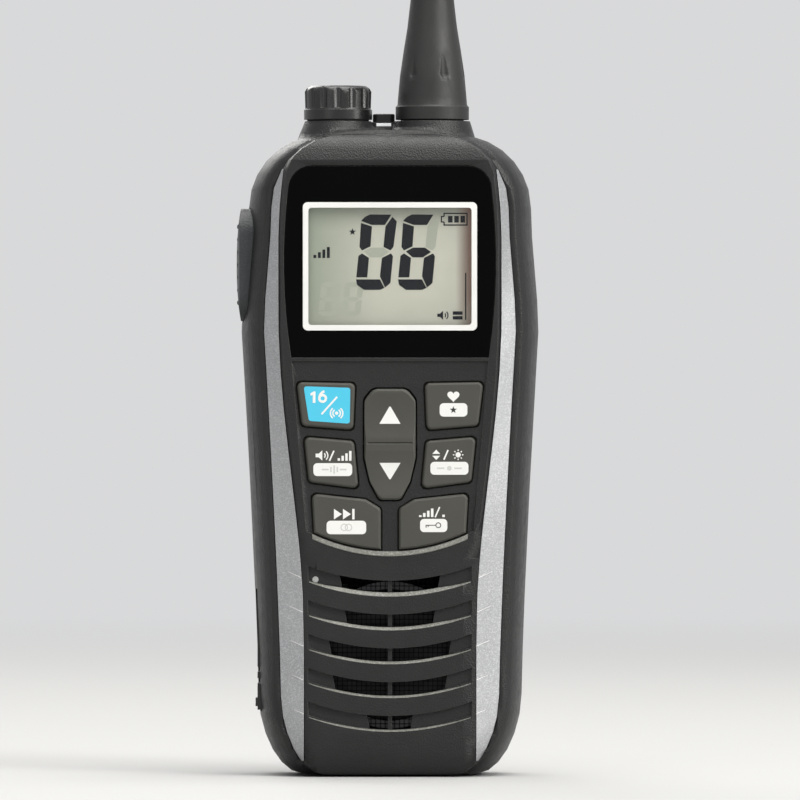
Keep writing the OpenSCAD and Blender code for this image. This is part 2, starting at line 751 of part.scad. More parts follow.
module case_gasket() {
    color([0.05, 0.05, 0.05]) difference() {
        slab(part_y, part_y + gasket_t) case_outline(0.35, 0.3, body_h - 0.3);
        slab(part_y - 1, part_y + gasket_t + 1) case_outline(side_wall - 0.6, 3.2, inner_top + 0.3);
        screw_places() along_y(1.4, part_y - 1, part_y + gasket_t + 1, 0, 0);
    }
}

// ---- boards and battery ----

can_y = board_y + board_t;
can_t = 2.3;                              // thickness of the shield can
can_edge = 4.8;                           // from its sides to the sides of the board
can_h = 34;                               // its height and middle
can_z = 92;
chassis_y = can_y + can_t + 0.1;
chassis_t = 1.2;
battery_y = chassis_y + chassis_t + 0.6;
battery_mid = at(41 + battery_h / 2);
battery_w = body_w - 2 * battery_room;
board_edge = 8.5;                         // from the outside of the case to the sides of the board
board_hw = body_w / 2 - board_edge;
can_w = 2 * (board_hw - can_edge);

module board_outline(d) {
    low = port_z + port_h + 3.5;          // above the posts of the charging board
    right = [[board_hw - 1.2 - d, low + d], [board_hw - d, at(60)], [board_hw - d, at(105)],
        [12 - d, inner_top - 1.2 - d]];
    polygon(rounded(concat(right, reverse(flip_x(right))), 1));
}
module main_board() {
    color([0.05, 0.3, 0.15]) slab(board_y, board_y + board_t) board_outline(0);
}
module shield_can() {
    color("silver") slab(can_y, can_y + can_t) rounded_rect(can_w, at(can_h), 1, at(can_z));
}
module chassis_plate() {
    color("gray") difference() {
        slab(chassis_y, chassis_y + chassis_t) board_outline(0);
        for (s = [-1, 1], z = [48, 106])
            along_y(1.3, chassis_y - 1, chassis_y + 3, s * (board_hw - 3.3), at(z));
    }
    // the rib that stands on the board
    color("gray") slab(can_y, chassis_y + eps) rounded_rect(can_w + 4, 3, 0.6, at(70));
}
module battery_pack() {
    color([0.1, 0.2, 0.5]) slab(battery_y, battery_y + battery_t)
        rounded_rect(battery_w, at(battery_h), 3, battery_mid);
}
module battery_pad() {
    color([0.2, 0.2, 0.2]) slab(chassis_y + chassis_t, battery_y)
        rounded_rect(battery_w - 4, at(battery_h) - 6, 2, battery_mid);
}

// ---- speaker and microphone ----

mesh_t = 0.3;
speaker_y = skin_y + mesh_t + 0.1;
module speaker_mesh() {
    color([0.06, 0.06, 0.06]) slab(skin_y + slip, skin_y + mesh_t + slip)
        rounded_rect(24.8, louvres * louvre_step + 1, 2, speaker_z);
}
speaker_t = 2.8;                          // depth of the speaker's frame
speaker_in = speaker_d / 2 - 1.6;         // inner radius of its rim
module speaker_frame() {
    color("dimgray") difference() {
        along_y(speaker_d / 2, speaker_y, speaker_y + speaker_t, 0, speaker_z);
        along_y(speaker_in, speaker_y - 1, speaker_y + speaker_t - 0.8, 0, speaker_z);
        along_y(6, speaker_y, speaker_y + 4, 0, speaker_z);
    }
}
// Dust cap, cone, and the rolled surround that ends in the rim
module speaker_cone() {
    r = speaker_in - slip;
    front = [[0, 1], [r * 0.32, 1.2], [r * 0.77, 0.3], [r * 0.89, 0.7], [r, 0.3]];
    color([0.12, 0.12, 0.12]) translate([0, speaker_y + 0.2, speaker_z]) rotate([-90, 0, 0])
        rotate_extrude() polygon(concat(front, [for (p = reverse(front)) p + [0, 0.4]]));
}
module speaker_magnet() {
    color("gray") along_y(9, speaker_y + speaker_t, speaker_y + speaker_t + 3.4, 0, speaker_z);
}
module mic_capsule() {
    color("silver") along_y(mic_r, skin_y - 0.25, skin_y + 1.2, mic_x, mic_z);
}

// ---- top ----

seal_t = 0.6;
module jack_socket() {
    color("darkgray") difference() {
        union() {
            along_z(jack_d / 2, inner_top - 1, cone_z + 3.4, -jack_x, top_y);
            block(-jack_x - 5, -jack_x + 5, chassis_y + chassis_t, top_y + 5,
                inner_top - 10, inner_top - slip);
        }
        along_z(1.8, inner_top - 6, big, -jack_x, top_y);
    }
}
module antenna_connector() {
    color("gold") difference() {
        union() {
            along_z(stud_d / 2, inner_top - 1, cone_z + 6, antenna_x, top_y);
            block(antenna_x - 4.5, antenna_x + 4.5, chassis_y + chassis_t, top_y + 4.5, inner_top - 6,
                inner_top - slip);
        }
        along_z(1.1, cone_z - 4, big, antenna_x, top_y);
    }
}

// Seal and cap turn on the jack collar
module cap_seal() {
    color([0.05, 0.05, 0.05]) difference() {
        along_z(cap_d / 2 - 0.6, cone_z + slip, cone_z + slip + seal_t, -jack_x, top_y);
        along_z(jack_d / 2 + screw_gap, cone_z - 1, cone_z + 3, -jack_x, top_y);
    }
}
cap_z = cone_z + 0.3;
cap_h = 6.4;
module jack_cap() {
    skirt = 1.9;
    r = cap_d / 2;
    color([0.12, 0.12, 0.12]) translate([-jack_x, top_y, cap_z]) difference() {
        rotate_extrude() polygon([[0, 0], [r, 0], [r, skirt], [r - 0.25, skirt], [r - 0.15, cap_h - 1.1],
            [r - 0.5, cap_h - 0.45], [r - 1.2, cap_h], [0, cap_h]]);
        translate([0, 0, -1]) cylinder(r = jack_d / 2 + screw_gap, h = 4.4);
        translate([0, 0, -1]) cylinder(r = cap_d / 2 - 0.55, h = 1 + seal_t - 0.2);
        for (k = [0 : flutes - 1]) rotate([0, 0, 360 / flutes * (k + 0.5)])
            translate([r + 0.35, 0, skirt + 0.3]) cylinder(r = 0.95, h = big, $fn = 24);
    }
}

module antenna_seal() {
    color([0.05, 0.05, 0.05]) difference() {
        along_z(collar_d / 2 - 1, cone_z + slip, cone_z + slip + seal_t, antenna_x, top_y);
        along_z(stud_d / 2 + screw_gap, cone_z - 1, cone_z + 3, antenna_x, top_y);
    }
}
antenna_z = cone_z + 0.3;
// Radius and height pairs of the whip, up from the collar
whip_profile = [[collar_d / 2, 0], [collar_d / 2, 2.4], [collar_d / 2 - 0.35, 2.8], [6.15, 8.5], [5.45, 13.2],
    [4.75, 17.5], [4.15, 22.7], [3.85, 30], [3.55, 45], [3.2, antenna_l - 12]];
module antenna_whip() {
    tip_r = 3.2;
    color([0.1, 0.1, 0.1]) translate([antenna_x, top_y, antenna_z]) difference() {
        rotate_extrude() polygon(concat([[0, 0]], whip_profile,
            [for (a = [0 : 15 : 90]) [tip_r * cos(a), antenna_l - tip_r + tip_r * sin(a)]]));
        translate([0, 0, -1]) cylinder(r = stud_d / 2 + screw_gap, h = 8);
        translate([0, 0, -1]) cylinder(r = collar_d / 2 - 0.95, h = 1 + seal_t - 0.2);
        // thumb recesses round the base
        for (k = [0 : 5]) rotate([0, 0, 60 * k + 20]) translate([6.9, 0, 8.6]) {
            cylinder(r = 0.95, h = 4, $fn = 24);
            sphere(r = 0.95, $fn = 24);
        }
    }
}

module power_key() {
    color([0.08, 0.08, 0.08]) translate([power_x, power_y, 0]) {
        translate([0, 0, inner_top - 0.1]) linear_extrude(power_top - inner_top + 0.1)
            polygon(rounded(rect(power_w, power_d), 1));
        translate([0, 0, inner_top - 0.9]) linear_extrude(0.8 + eps)
            polygon(rounded(rect(power_w + 1.6, power_d + 1.6), 1));
    }
}
module power_switch() {
    color("black") {
        block(power_x - 2.5, power_x + 2.5, chassis_y + chassis_t, power_y + 2, inner_top - 5, inner_top - 3);
        along_z(1, inner_top - 3.01, inner_top - 1.6, power_x, power_y);
    }
}
module status_light() {
    color("white") block(power_x - 1.4, power_x + 1.4, power_y - power_d / 2 - 0.85, power_y - power_d / 2 - 0.32,
        power_boss - 0.78, power_boss - 0.22);
}

// ---- talk button ----

ptt_x = body_w / 2 + ptt_proud;
module ptt_plan(d) {
    polygon(rounded(rect(ptt_h + 2 * d, ptt_w + 2 * d), ptt_w / 2 + d - 0.1, 8));
}
module ptt_button() {
    lip_x = ptt_wall_x - 0.1;
    color([0.1, 0.1, 0.1]) {
        intersection() {
            translate([-ptt_x, ptt_y, ptt_z]) rotate([0, 90, 0]) linear_extrude(ptt_x - lip_x + eps) ptt_plan(0);
            // crown, seen from the front and from above
            translate([-ptt_x + 70, ptt_y, ptt_z]) rotate([90, 0, 0]) cylinder(r = 70, h = 40, center = true, $fn = 360);
            translate([-ptt_x + 22, ptt_y, ptt_z]) cylinder(r = 22, h = 40, center = true, $fn = 180);
        }
        for (k = [-3 : 3]) translate([-ptt_x + 0.72, ptt_y, ptt_z + k * 2.4]) rotate([90, 0, 0])
            cylinder(r = 0.6, h = ptt_w - 3.2, center = true, $fn = 24);
        translate([-lip_x, ptt_y, ptt_z]) rotate([0, 90, 0]) linear_extrude(0.8) ptt_plan(0.8);
    }
}
module ptt_board() {
    color([0.05, 0.3, 0.15]) block(-board_hw - 1.1, -board_hw - slip, ptt_y - 5, ptt_y + 6,
        ptt_z - 10, ptt_z + 9);
}
module ptt_switch() {
    plunger_x = ptt_wall_x - 0.1 - 0.8 - ptt_travel - 0.1;
    color("gray") {
        block(-board_hw - 2.3, -board_hw - 1.1, ptt_y - 3, ptt_y + 3, ptt_z - 3, ptt_z + 3);
        along_x(1.2, -plunger_x, -board_hw - 2.2, ptt_y, ptt_z);
    }
}

// ---- charging port ----

module port_cover() {
    y0 = port_y - port_w / 2;
    y1 = port_y + port_w / 2;
    outer = port_x - 0.1;
    knuckle = 0.9;
    color([0.1, 0.1, 0.1]) difference() {
        union() {
            block(-outer, -port_floor_x - slip, y0, y1, port_z, port_axis_z - 1);
            block(-port_axis_x - knuckle, -port_floor_x - slip, y0, y1, port_axis_z - 1.5, port_axis_z);
            along_y(knuckle, y0, y1, -port_axis_x, port_axis_z);
            // plug that fills the port
            block(-port_floor_x - 1, -port_floor_x + 1, port_y - 1.3, port_y + 1.3,
                usb_z - usb_hh - 0.1, usb_z + usb_hh + 0.1);
            // finger nib
            block(-outer - 0.4, -outer + 0.5, y0 + 2, y1 - 2, port_z + 0.6, port_z + 2.2);
        }
        along_y(port_pin_r, y0 - 1, y1 + 1, -port_axis_x, port_axis_z);
        for (z = [port_z + 5, port_z + 7.2]) block(-big, -outer + 0.5, y0 - 1, y1 + 1, z, z + 1);
    }
}
module port_hinge_pin() {
    color("silver") along_y(port_pin_r - slip, port_y - port_w / 2 - 1.2, port_y + port_w / 2 + 1.2,
        -port_axis_x, port_axis_z);
}
usb_y = port_y + 1.6;
module usb_board() {
    color([0.05, 0.3, 0.15]) block(-(port_x - 4.5), -8, usb_y + slip, usb_y + 1.2,
        port_z - 0.4, port_z + port_h + 1.4);
}
module usb_socket() {
    color("silver") difference() {
        block(-(port_x - 3.9), -15.6, port_y - 1.6, usb_y, usb_z - usb_hh, usb_z + usb_hh);
        block(-port_x, -16.4, port_y - 1.2, port_y + 1.1, usb_z - usb_hh + 0.5, usb_z + usb_hh - 0.5);
    }
}

front_case();
rear_case();
case_gasket();
trim_left();
trim_right();
lens_surround();
display_window();
lens_border();
lcd_panel();
lcd_backlight();
key_mat();
main_board();
shield_can();
chassis_plate();
battery_pack();
battery_pad();
speaker_frame();
speaker_cone();
speaker_magnet();
speaker_mesh();
mic_capsule();
jack_socket();
antenna_connector();
power_switch();
status_light();
ptt_board();
ptt_switch();
usb_board();
usb_socket();
port_hinge_pin();
clip_inserts();
case_screws();
key_call();
key_favourite();
key_volume();
key_channel();
key_scan();
key_power_level();
key_rocker();
power_key();
ptt_button();
cap_seal();
jack_cap();
antenna_seal();
antenna_whip();
port_cover();
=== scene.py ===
import math

import bmesh
import bpy
from mathutils import Matrix, Vector
from mathutils.bvhtree import BVHTree


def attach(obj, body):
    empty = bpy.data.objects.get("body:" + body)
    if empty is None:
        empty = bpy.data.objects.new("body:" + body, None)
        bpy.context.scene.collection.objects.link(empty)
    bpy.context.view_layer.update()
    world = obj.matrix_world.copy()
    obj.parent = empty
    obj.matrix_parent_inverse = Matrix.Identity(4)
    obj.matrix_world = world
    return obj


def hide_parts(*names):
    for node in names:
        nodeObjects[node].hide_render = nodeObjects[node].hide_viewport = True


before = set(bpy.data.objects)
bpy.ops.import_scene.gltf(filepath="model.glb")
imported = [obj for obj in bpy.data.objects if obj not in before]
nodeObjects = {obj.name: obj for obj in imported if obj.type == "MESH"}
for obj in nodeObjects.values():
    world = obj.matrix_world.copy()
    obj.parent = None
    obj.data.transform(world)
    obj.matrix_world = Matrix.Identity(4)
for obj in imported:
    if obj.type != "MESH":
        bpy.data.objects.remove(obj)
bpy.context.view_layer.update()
mm = 0.001
print("frame loaded,", len(nodeObjects), "nodes")

# sizes that several pieces share, in mm, the same as in the part
shared = {"face": -15.25, "keyTop": -15.55, "louvreRadius": 45.0, "louvrePitch": 6.4, "roof": 124.4,
          "antennaAxis": (8.05, -1.5), "jackAxis": (-9.9, -1.5)}


def camelName(text):
    words = text.split("_")
    return words[0] + "".join(w.capitalize() for w in words[1:])


# node helpers

def addNode(tree, kind, inputs=None, **settings):
    node = tree.nodes.new(kind)
    for key, value in settings.items():
        setattr(node, key, value)
    for key, value in (inputs or {}).items():
        socket = node.inputs[key]
        if isinstance(value, bpy.types.NodeSocket):
            tree.links.new(value, socket)
        else:
            socket.default_value = value
    return node


def noiseOf(tree, vector, scale, detail=3.0, roughness=0.5):
    node = addNode(tree, "ShaderNodeTexNoise",
                   {"Vector": vector, "Scale": scale, "Detail": detail, "Roughness": roughness})
    return node.outputs["Fac"]


def cellsOf(tree, vector, scale, output="Distance"):
    return addNode(tree, "ShaderNodeTexVoronoi", {"Vector": vector, "Scale": scale}).outputs[output]


def mapRange(tree, value, low, high, toLow, toHigh):
    inputs = {"Value": value, "From Min": low, "From Max": high, "To Min": toLow, "To Max": toHigh}
    return addNode(tree, "ShaderNodeMapRange", inputs).outputs["Result"]


noiseSpan = (0.3, 0.7)                                   # most of a noise's values lie in here


def noiseBetween(tree, vector, scale, toLow, toHigh, detail=3.0, roughness=0.5):
    return mapRange(tree, noiseOf(tree, vector, scale, detail, roughness), *noiseSpan, toLow, toHigh)


def calc(tree, operation, a, b=0.0):
    return addNode(tree, "ShaderNodeMath", {0: a, 1: b}, operation=operation).outputs[0]


def blendColors(tree, factor, a, b):
    node = addNode(tree, "ShaderNodeMix", data_type="RGBA")
    for index, value in ((0, factor), (6, a), (7, b)):
        if isinstance(value, bpy.types.NodeSocket):
            tree.links.new(value, node.inputs[index])
        else:
            node.inputs[index].default_value = value if index == 0 else (*value, 1.0)
    return node.outputs[2]


def bumpOf(tree, height, distance, normal=None):
    inputs = {"Height": height, "Distance": distance, "Strength": 1.0}
    if normal is not None:
        inputs["Normal"] = normal
    return addNode(tree, "ShaderNodeBump", inputs).outputs["Normal"]


def startMaterial(name):
    material = bpy.data.materials.new(name)
    material.use_nodes = True
    tree = material.node_tree
    shader = tree.nodes["Principled BSDF"]
    coords = addNode(tree, "ShaderNodeTexCoord").outputs["Object"]
    return material, tree, shader, coords


# the scuff noise breaks up the lighter edges, which are part wear and part painted highlight
edgeSettings = {"samples": 6, "full": 0.90, "start": 0.995, "scuffAndGlintScale": 900.0, "leastWear": 0.4}


def roundEdges(tree, radius):
    # the rounded normal of an edge, and a mask that is 1 on the edge
    s = edgeSettings
    bevel = addNode(tree, "ShaderNodeBevel", {"Radius": radius}, samples=s["samples"])
    flat = addNode(tree, "ShaderNodeNewGeometry").outputs["Normal"]
    dot = addNode(tree, "ShaderNodeVectorMath", {0: bevel.outputs["Normal"], 1: flat},
                  operation="DOT_PRODUCT")
    mask = mapRange(tree, dot.outputs["Value"], s["start"], s["full"], 0.0, 1.0)
    return bevel.outputs["Normal"], mask


# the speck scale is a share of the grain's, and the pairs are the detail and roughness of a noise
surfaceSettings = {"patchScale": 60.0, "markScale": 540.0, "speckScale": 0.8, "patches": (4.0, 0.6),
                   "marks": (5.0, 0.7), "grain": (2.0, 0.6)}


def plainFinish(name, color, shade, roughness, spread=0.08, metallic=0.0, grain=4000.0, depth=0.02,
                edge=None, edgeRadius=0.15, wear=0.35, cells=False, specks=0.0, speckColor=None,
                specular=0.5, glow=0.0):
    # moulded plastic, rubber, paint or metal: two shades in soft patches, a fine grain and brighter edges,
    # part wear and part painted highlight
    s = surfaceSettings
    material, tree, shader, coords = startMaterial(name)
    patches = noiseBetween(tree, coords, s["patchScale"], 0.0, 1.0, *s["patches"])
    base = blendColors(tree, patches, color, shade)
    fine = cellsOf(tree, coords, grain) if cells else noiseOf(tree, coords, grain, *s["grain"])
    if specks:
        dots = cellsOf(tree, coords, grain * s["speckScale"], output="Color")
        level = addNode(tree, "ShaderNodeSeparateColor", {0: dots}).outputs[0]
        base = blendColors(tree, mapRange(tree, level, 1.0 - specks, 1.0, 0.0, 1.0), base, speckColor)
    normal, mask = roundEdges(tree, edgeRadius * mm)
    # the edge colour on the rounded edges: part wear, part painted highlight
    if edge:
        least = wear * edgeSettings["leastWear"]
        scuffsAndGlints = noiseBetween(tree, coords, edgeSettings["scuffAndGlintScale"], least, wear)
        base = blendColors(tree, calc(tree, "MULTIPLY", mask, scuffsAndGlints), base, edge)
    marks = noiseBetween(tree, coords, s["markScale"], roughness - spread, roughness + spread, *s["marks"])
    tree.links.new(base, shader.inputs["Base Color"])
    tree.links.new(marks, shader.inputs["Roughness"])
    tree.links.new(bumpOf(tree, fine, depth * mm, normal), shader.inputs["Normal"])
    shader.inputs["Metallic"].default_value = metallic
    shader.inputs["Specular IOR Level"].default_value = specular
    shader.inputs["Emission Color"].default_value = (*color, 1.0)
    shader.inputs["Emission Strength"].default_value = glow
    return material


# each edge colour is laid on the rounded edges: part wear, part painted highlight
finishSettings = {
    "case_plastic": {
        "color": (0.0055, 0.0056, 0.0058), "shade": (0.0085, 0.0086, 0.0088), "roughness": 0.42,
        "spread": 0.07, "grain": 3400.0, "depth": 0.055, "edge": (0.10, 0.10, 0.095), "wear": 0.6,
        "cells": True, "specular": 0.4},
    # a lighter copy of the case plastic for the ledges: painted highlight
    "case_ledge": {
        "color": (0.13, 0.13, 0.115), "shade": (0.19, 0.19, 0.17), "roughness": 0.45, "spread": 0.07,
        "grain": 7600.0, "depth": 0.02, "edge": (0.35, 0.35, 0.32), "wear": 0.6, "cells": True,
        "specks": 0.35, "speckColor": (0.32, 0.32, 0.29)},
    "talk_rubber": {
        "color": (0.016, 0.019, 0.021), "shade": (0.030, 0.034, 0.037), "roughness": 0.52, "spread": 0.1,
        "grain": 2400.0, "depth": 0.05, "edge": (0.12, 0.13, 0.14), "wear": 0.6, "cells": True},
    # a lighter copy of the trim paint for the lines over the trims: painted highlight
    "silver_edge": {
        "color": (0.66, 0.66, 0.66), "shade": (0.74, 0.74, 0.73), "roughness": 0.35, "spread": 0.06,
        "metallic": 0.3, "grain": 6500.0, "depth": 0.004, "edge": (0.85, 0.85, 0.85), "edgeRadius": 0.05},
    "cap_gloss": {
        "color": (0.006, 0.006, 0.006), "shade": (0.009, 0.009, 0.009), "roughness": 0.30, "spread": 0.06,
        "grain": 4200.0, "depth": 0.012, "edge": (0.08, 0.08, 0.075), "edgeRadius": 0.18, "wear": 0.5},
    "seal_rubber": {
        "color": (0.010, 0.010, 0.010), "shade": (0.016, 0.016, 0.016), "roughness": 0.72, "grain": 5200.0,
        "depth": 0.015, "edgeRadius": 0.08},
    "silver_paint": {
        "color": (0.32, 0.325, 0.335), "shade": (0.37, 0.375, 0.385), "roughness": 0.38, "spread": 0.05,
        "metallic": 0.6, "grain": 8600.0, "depth": 0.006, "edge": (0.5, 0.5, 0.5), "wear": 0.6,
        "cells": True, "specks": 0.4, "speckColor": (0.52, 0.525, 0.54)},
    "lens_black": {
        "color": (0.0008, 0.0008, 0.0009), "shade": (0.0012, 0.0012, 0.0013), "roughness": 0.06,
        "spread": 0.02, "grain": 700.0, "depth": 0.0006, "edge": (0.12, 0.12, 0.11), "edgeRadius": 0.08,
        "wear": 0.5, "specular": 0.05},
    "white_print": {
        "color": (0.80, 0.80, 0.78), "shade": (0.72, 0.72, 0.70), "roughness": 0.5, "spread": 0.05,
        "grain": 7000.0, "depth": 0.004, "edgeRadius": 0.03},
    "key_rubber": {
        "color": (0.046, 0.045, 0.038), "shade": (0.057, 0.056, 0.047), "roughness": 0.54, "spread": 0.06,
        "grain": 6200.0, "depth": 0.012, "edge": (0.15, 0.15, 0.14), "edgeRadius": 0.22, "wear": 0.7,
        "specular": 0.4},
    "key_blue": {
        "color": (0.062, 0.50, 0.70), "shade": (0.072, 0.52, 0.73), "roughness": 0.42, "spread": 0.05,
        "grain": 6200.0, "depth": 0.006, "edge": (0.16, 0.55, 0.85), "edgeRadius": 0.05},
    "black_rubber": {
        "color": (0.008, 0.008, 0.0078), "shade": (0.012, 0.012, 0.0115), "roughness": 0.50, "spread": 0.08,
        "grain": 4600.0, "depth": 0.022, "edge": (0.05, 0.05, 0.05), "edgeRadius": 0.2, "wear": 0.5,
        "specular": 0.5},
    "tin_plate": {
        "color": (0.55, 0.55, 0.53), "shade": (0.62, 0.62, 0.60), "roughness": 0.32, "spread": 0.1,
        "metallic": 1.0, "grain": 1500.0, "depth": 0.004, "edge": (0.8, 0.8, 0.8)},
    "die_cast": {
        "color": (0.33, 0.33, 0.33), "shade": (0.42, 0.42, 0.41), "roughness": 0.5, "spread": 0.12,
        "metallic": 1.0, "grain": 2600.0, "depth": 0.03, "edge": (0.6, 0.6, 0.6), "cells": True},
    "foam": {
        "color": (0.020, 0.020, 0.021), "shade": (0.035, 0.035, 0.036), "roughness": 0.9, "spread": 0.05,
        "grain": 2200.0, "depth": 0.18, "cells": True, "edgeRadius": 0.1},
    "steel": {
        "color": (0.52, 0.52, 0.53), "shade": (0.60, 0.60, 0.61), "roughness": 0.3, "spread": 0.1,
        "metallic": 1.0, "grain": 5000.0, "depth": 0.004, "edge": (0.75, 0.75, 0.75)},
    "cone_film": {
        "color": (0.010, 0.010, 0.011), "shade": (0.016, 0.016, 0.017), "roughness": 0.5, "spread": 0.08,
        "grain": 2500.0, "depth": 0.01, "specular": 0.2},
    "mesh_cloth": {
        "color": (0.002, 0.002, 0.002), "shade": (0.004, 0.004, 0.004), "roughness": 0.8, "grain": 6000.0,
        "depth": 0.01, "edgeRadius": 0.02, "specular": 0.05},
    "brass": {
        "color": (0.62, 0.43, 0.17), "shade": (0.70, 0.50, 0.22), "roughness": 0.3, "spread": 0.08,
        "metallic": 1.0, "grain": 4000.0, "depth": 0.004, "edge": (0.85, 0.65, 0.35)},
    "gold_plate": {
        "color": (0.80, 0.58, 0.24), "shade": (0.86, 0.64, 0.30), "roughness": 0.24, "spread": 0.06,
        "metallic": 1.0, "grain": 4200.0, "depth": 0.003, "edge": (0.95, 0.78, 0.45)},
    "black_steel": {
        "color": (0.03, 0.03, 0.032), "shade": (0.045, 0.045, 0.047), "roughness": 0.38, "spread": 0.08,
        "metallic": 0.9, "grain": 4200.0, "depth": 0.006, "edge": (0.3, 0.3, 0.3)},
    "switch_black": {
        "color": (0.015, 0.015, 0.016), "shade": (0.022, 0.022, 0.023), "roughness": 0.5, "grain": 5000.0,
        "depth": 0.012},
    "light_pipe": {
        "color": (0.82, 0.83, 0.84), "shade": (0.74, 0.75, 0.77), "roughness": 0.22, "spread": 0.04,
        "grain": 5000.0, "depth": 0.002, "edgeRadius": 0.05, "glow": 0.5},
    "light_guide": {
        "color": (0.80, 0.81, 0.78), "shade": (0.72, 0.74, 0.70), "roughness": 0.35, "spread": 0.05,
        "grain": 1800.0, "depth": 0.01, "cells": True},
    "lcd_ink": {
        "color": (0.004, 0.004, 0.009), "shade": (0.006, 0.006, 0.012), "roughness": 0.5, "spread": 0.03,
        "grain": 6000.0, "depth": 0.002, "edgeRadius": 0.02, "specular": 0.15},
    "ghost_ink": {
        "color": (0.60, 0.585, 0.505), "shade": (0.62, 0.605, 0.525), "roughness": 0.45, "spread": 0.03,
        "grain": 6000.0, "depth": 0.001, "edgeRadius": 0.01},
    "faint_ink": {
        "color": (0.50, 0.50, 0.48), "shade": (0.56, 0.56, 0.54), "roughness": 0.5, "spread": 0.03,
        "grain": 6000.0, "depth": 0.002, "edgeRadius": 0.02},
    "dark_ink": {
        "color": (0.02, 0.02, 0.02), "shade": (0.03, 0.03, 0.03), "roughness": 0.5, "spread": 0.03,
        "grain": 6000.0, "depth": 0.002, "edgeRadius": 0.02},
}
finishes = {key: plainFinish(camelName(key), **values) for key, values in finishSettings.items()}


# finishes with a pattern of their own

lcdSettings = {
    "glow": 0.16, "left": -15.45, "right": 15.45, "low": 85.2, "high": 107.4, "light": (0.68, 0.63, 0.555),
    "pale": (0.74, 0.685, 0.61), "patch": (90.0, 2.0, 0.5), "patchSpan": (0.35, 0.65), "smears": 400.0,
    "roughness": (0.35, 0.5), "dots": 5200.0, "dotHeight": 0.001,
    # painted shade towards the four edges, reddish at the right: axis, where it starts, where it is full, how
    # strong it gets, colour
    "paintedEdgeShade": [("up", 0.80, 1.0, 0.7, (0.26, 0.27, 0.22)), ("across", 0.90, 0.985, 0.85, (0.24, 0.10, 0.07)),
               ("across", 0.42, 0.0, 0.85, (0.36, 0.385, 0.31)), ("up", 0.25, 0.0, 0.45, (0.46, 0.44, 0.38))],
}


def lcdFinish():
    s = lcdSettings
    material, tree, shader, coords = startMaterial("lcdGlass")
    axes = addNode(tree, "ShaderNodeSeparateXYZ", {0: coords})
    place = {"across": mapRange(tree, axes.outputs["X"], s["left"] * mm, s["right"] * mm, 0.0, 1.0),
             "up": mapRange(tree, axes.outputs["Z"], s["low"] * mm, s["high"] * mm, 0.0, 1.0)}
    patches = mapRange(tree, noiseOf(tree, coords, *s["patch"]), *s["patchSpan"], 0.0, 1.0)
    base = blendColors(tree, patches, s["light"], s["pale"])
    # painted shade that darkens the glass towards its edges
    for axis, start, full, share, color in s["paintedEdgeShade"]:
        base = blendColors(tree, mapRange(tree, place[axis], start, full, 0.0, share), base, color)
    tree.links.new(base, shader.inputs["Base Color"])
    tree.links.new(base, shader.inputs["Emission Color"])
    shader.inputs["Emission Strength"].default_value = s["glow"]
    tree.links.new(noiseBetween(tree, coords, s["smears"], *s["roughness"]), shader.inputs["Roughness"])
    dots = bumpOf(tree, cellsOf(tree, coords, s["dots"]), s["dotHeight"] * mm)
    tree.links.new(dots, shader.inputs["Normal"])
    return material


windowSettings = {"tint": (0.93, 0.95, 0.94, 1.0), "shine": (1.0, 1.0, 1.0, 1.0), "smears": 160.0,
                  "smearNoise": (4.0, 0.6), "roughness": (0.02, 0.06), "ripples": 500.0,
                  "rippleHeight": 0.0006, "ior": 1.49, "gloss": 0.45}


def windowFinish():
    # clear plastic: mostly see-through, with a gloss that grows at a low angle
    s = windowSettings
    material, tree, shader, coords = startMaterial("clearWindow")
    see = addNode(tree, "ShaderNodeBsdfTransparent", {"Color": s["tint"]})
    gloss = addNode(tree, "ShaderNodeBsdfGlossy", {
        "Color": s["shine"],
        "Roughness": noiseBetween(tree, coords, s["smears"], *s["roughness"], *s["smearNoise"]),
        "Normal": bumpOf(tree, noiseOf(tree, coords, s["ripples"]), s["rippleHeight"] * mm)})
    grazing = addNode(tree, "ShaderNodeFresnel", {"IOR": s["ior"]}).outputs[0]
    share = calc(tree, "MULTIPLY", grazing, s["gloss"])
    mixed = addNode(tree, "ShaderNodeMixShader", {0: share, 1: see.outputs[0], 2: gloss.outputs[0]})
    tree.links.new(mixed.outputs[0], tree.nodes["Material Output"].inputs["Surface"])
    return material


boardSettings = {"mask": (0.008, 0.075, 0.035), "trace": (0.03, 0.17, 0.075), "pad": (0.72, 0.55, 0.28),
                 "traceScale": 620.0, "traceWidth": 0.06, "traceHeight": 0.03, "tracePatch": 130.0,
                 "traceSpan": (0.48, 0.52), "padScale": 900.0, "padEdge": (0.12, 0.16), "padPatch": 210.0,
                 "padSpan": (0.60, 0.62), "maskRoughness": 0.34, "padRoughness": 0.22}


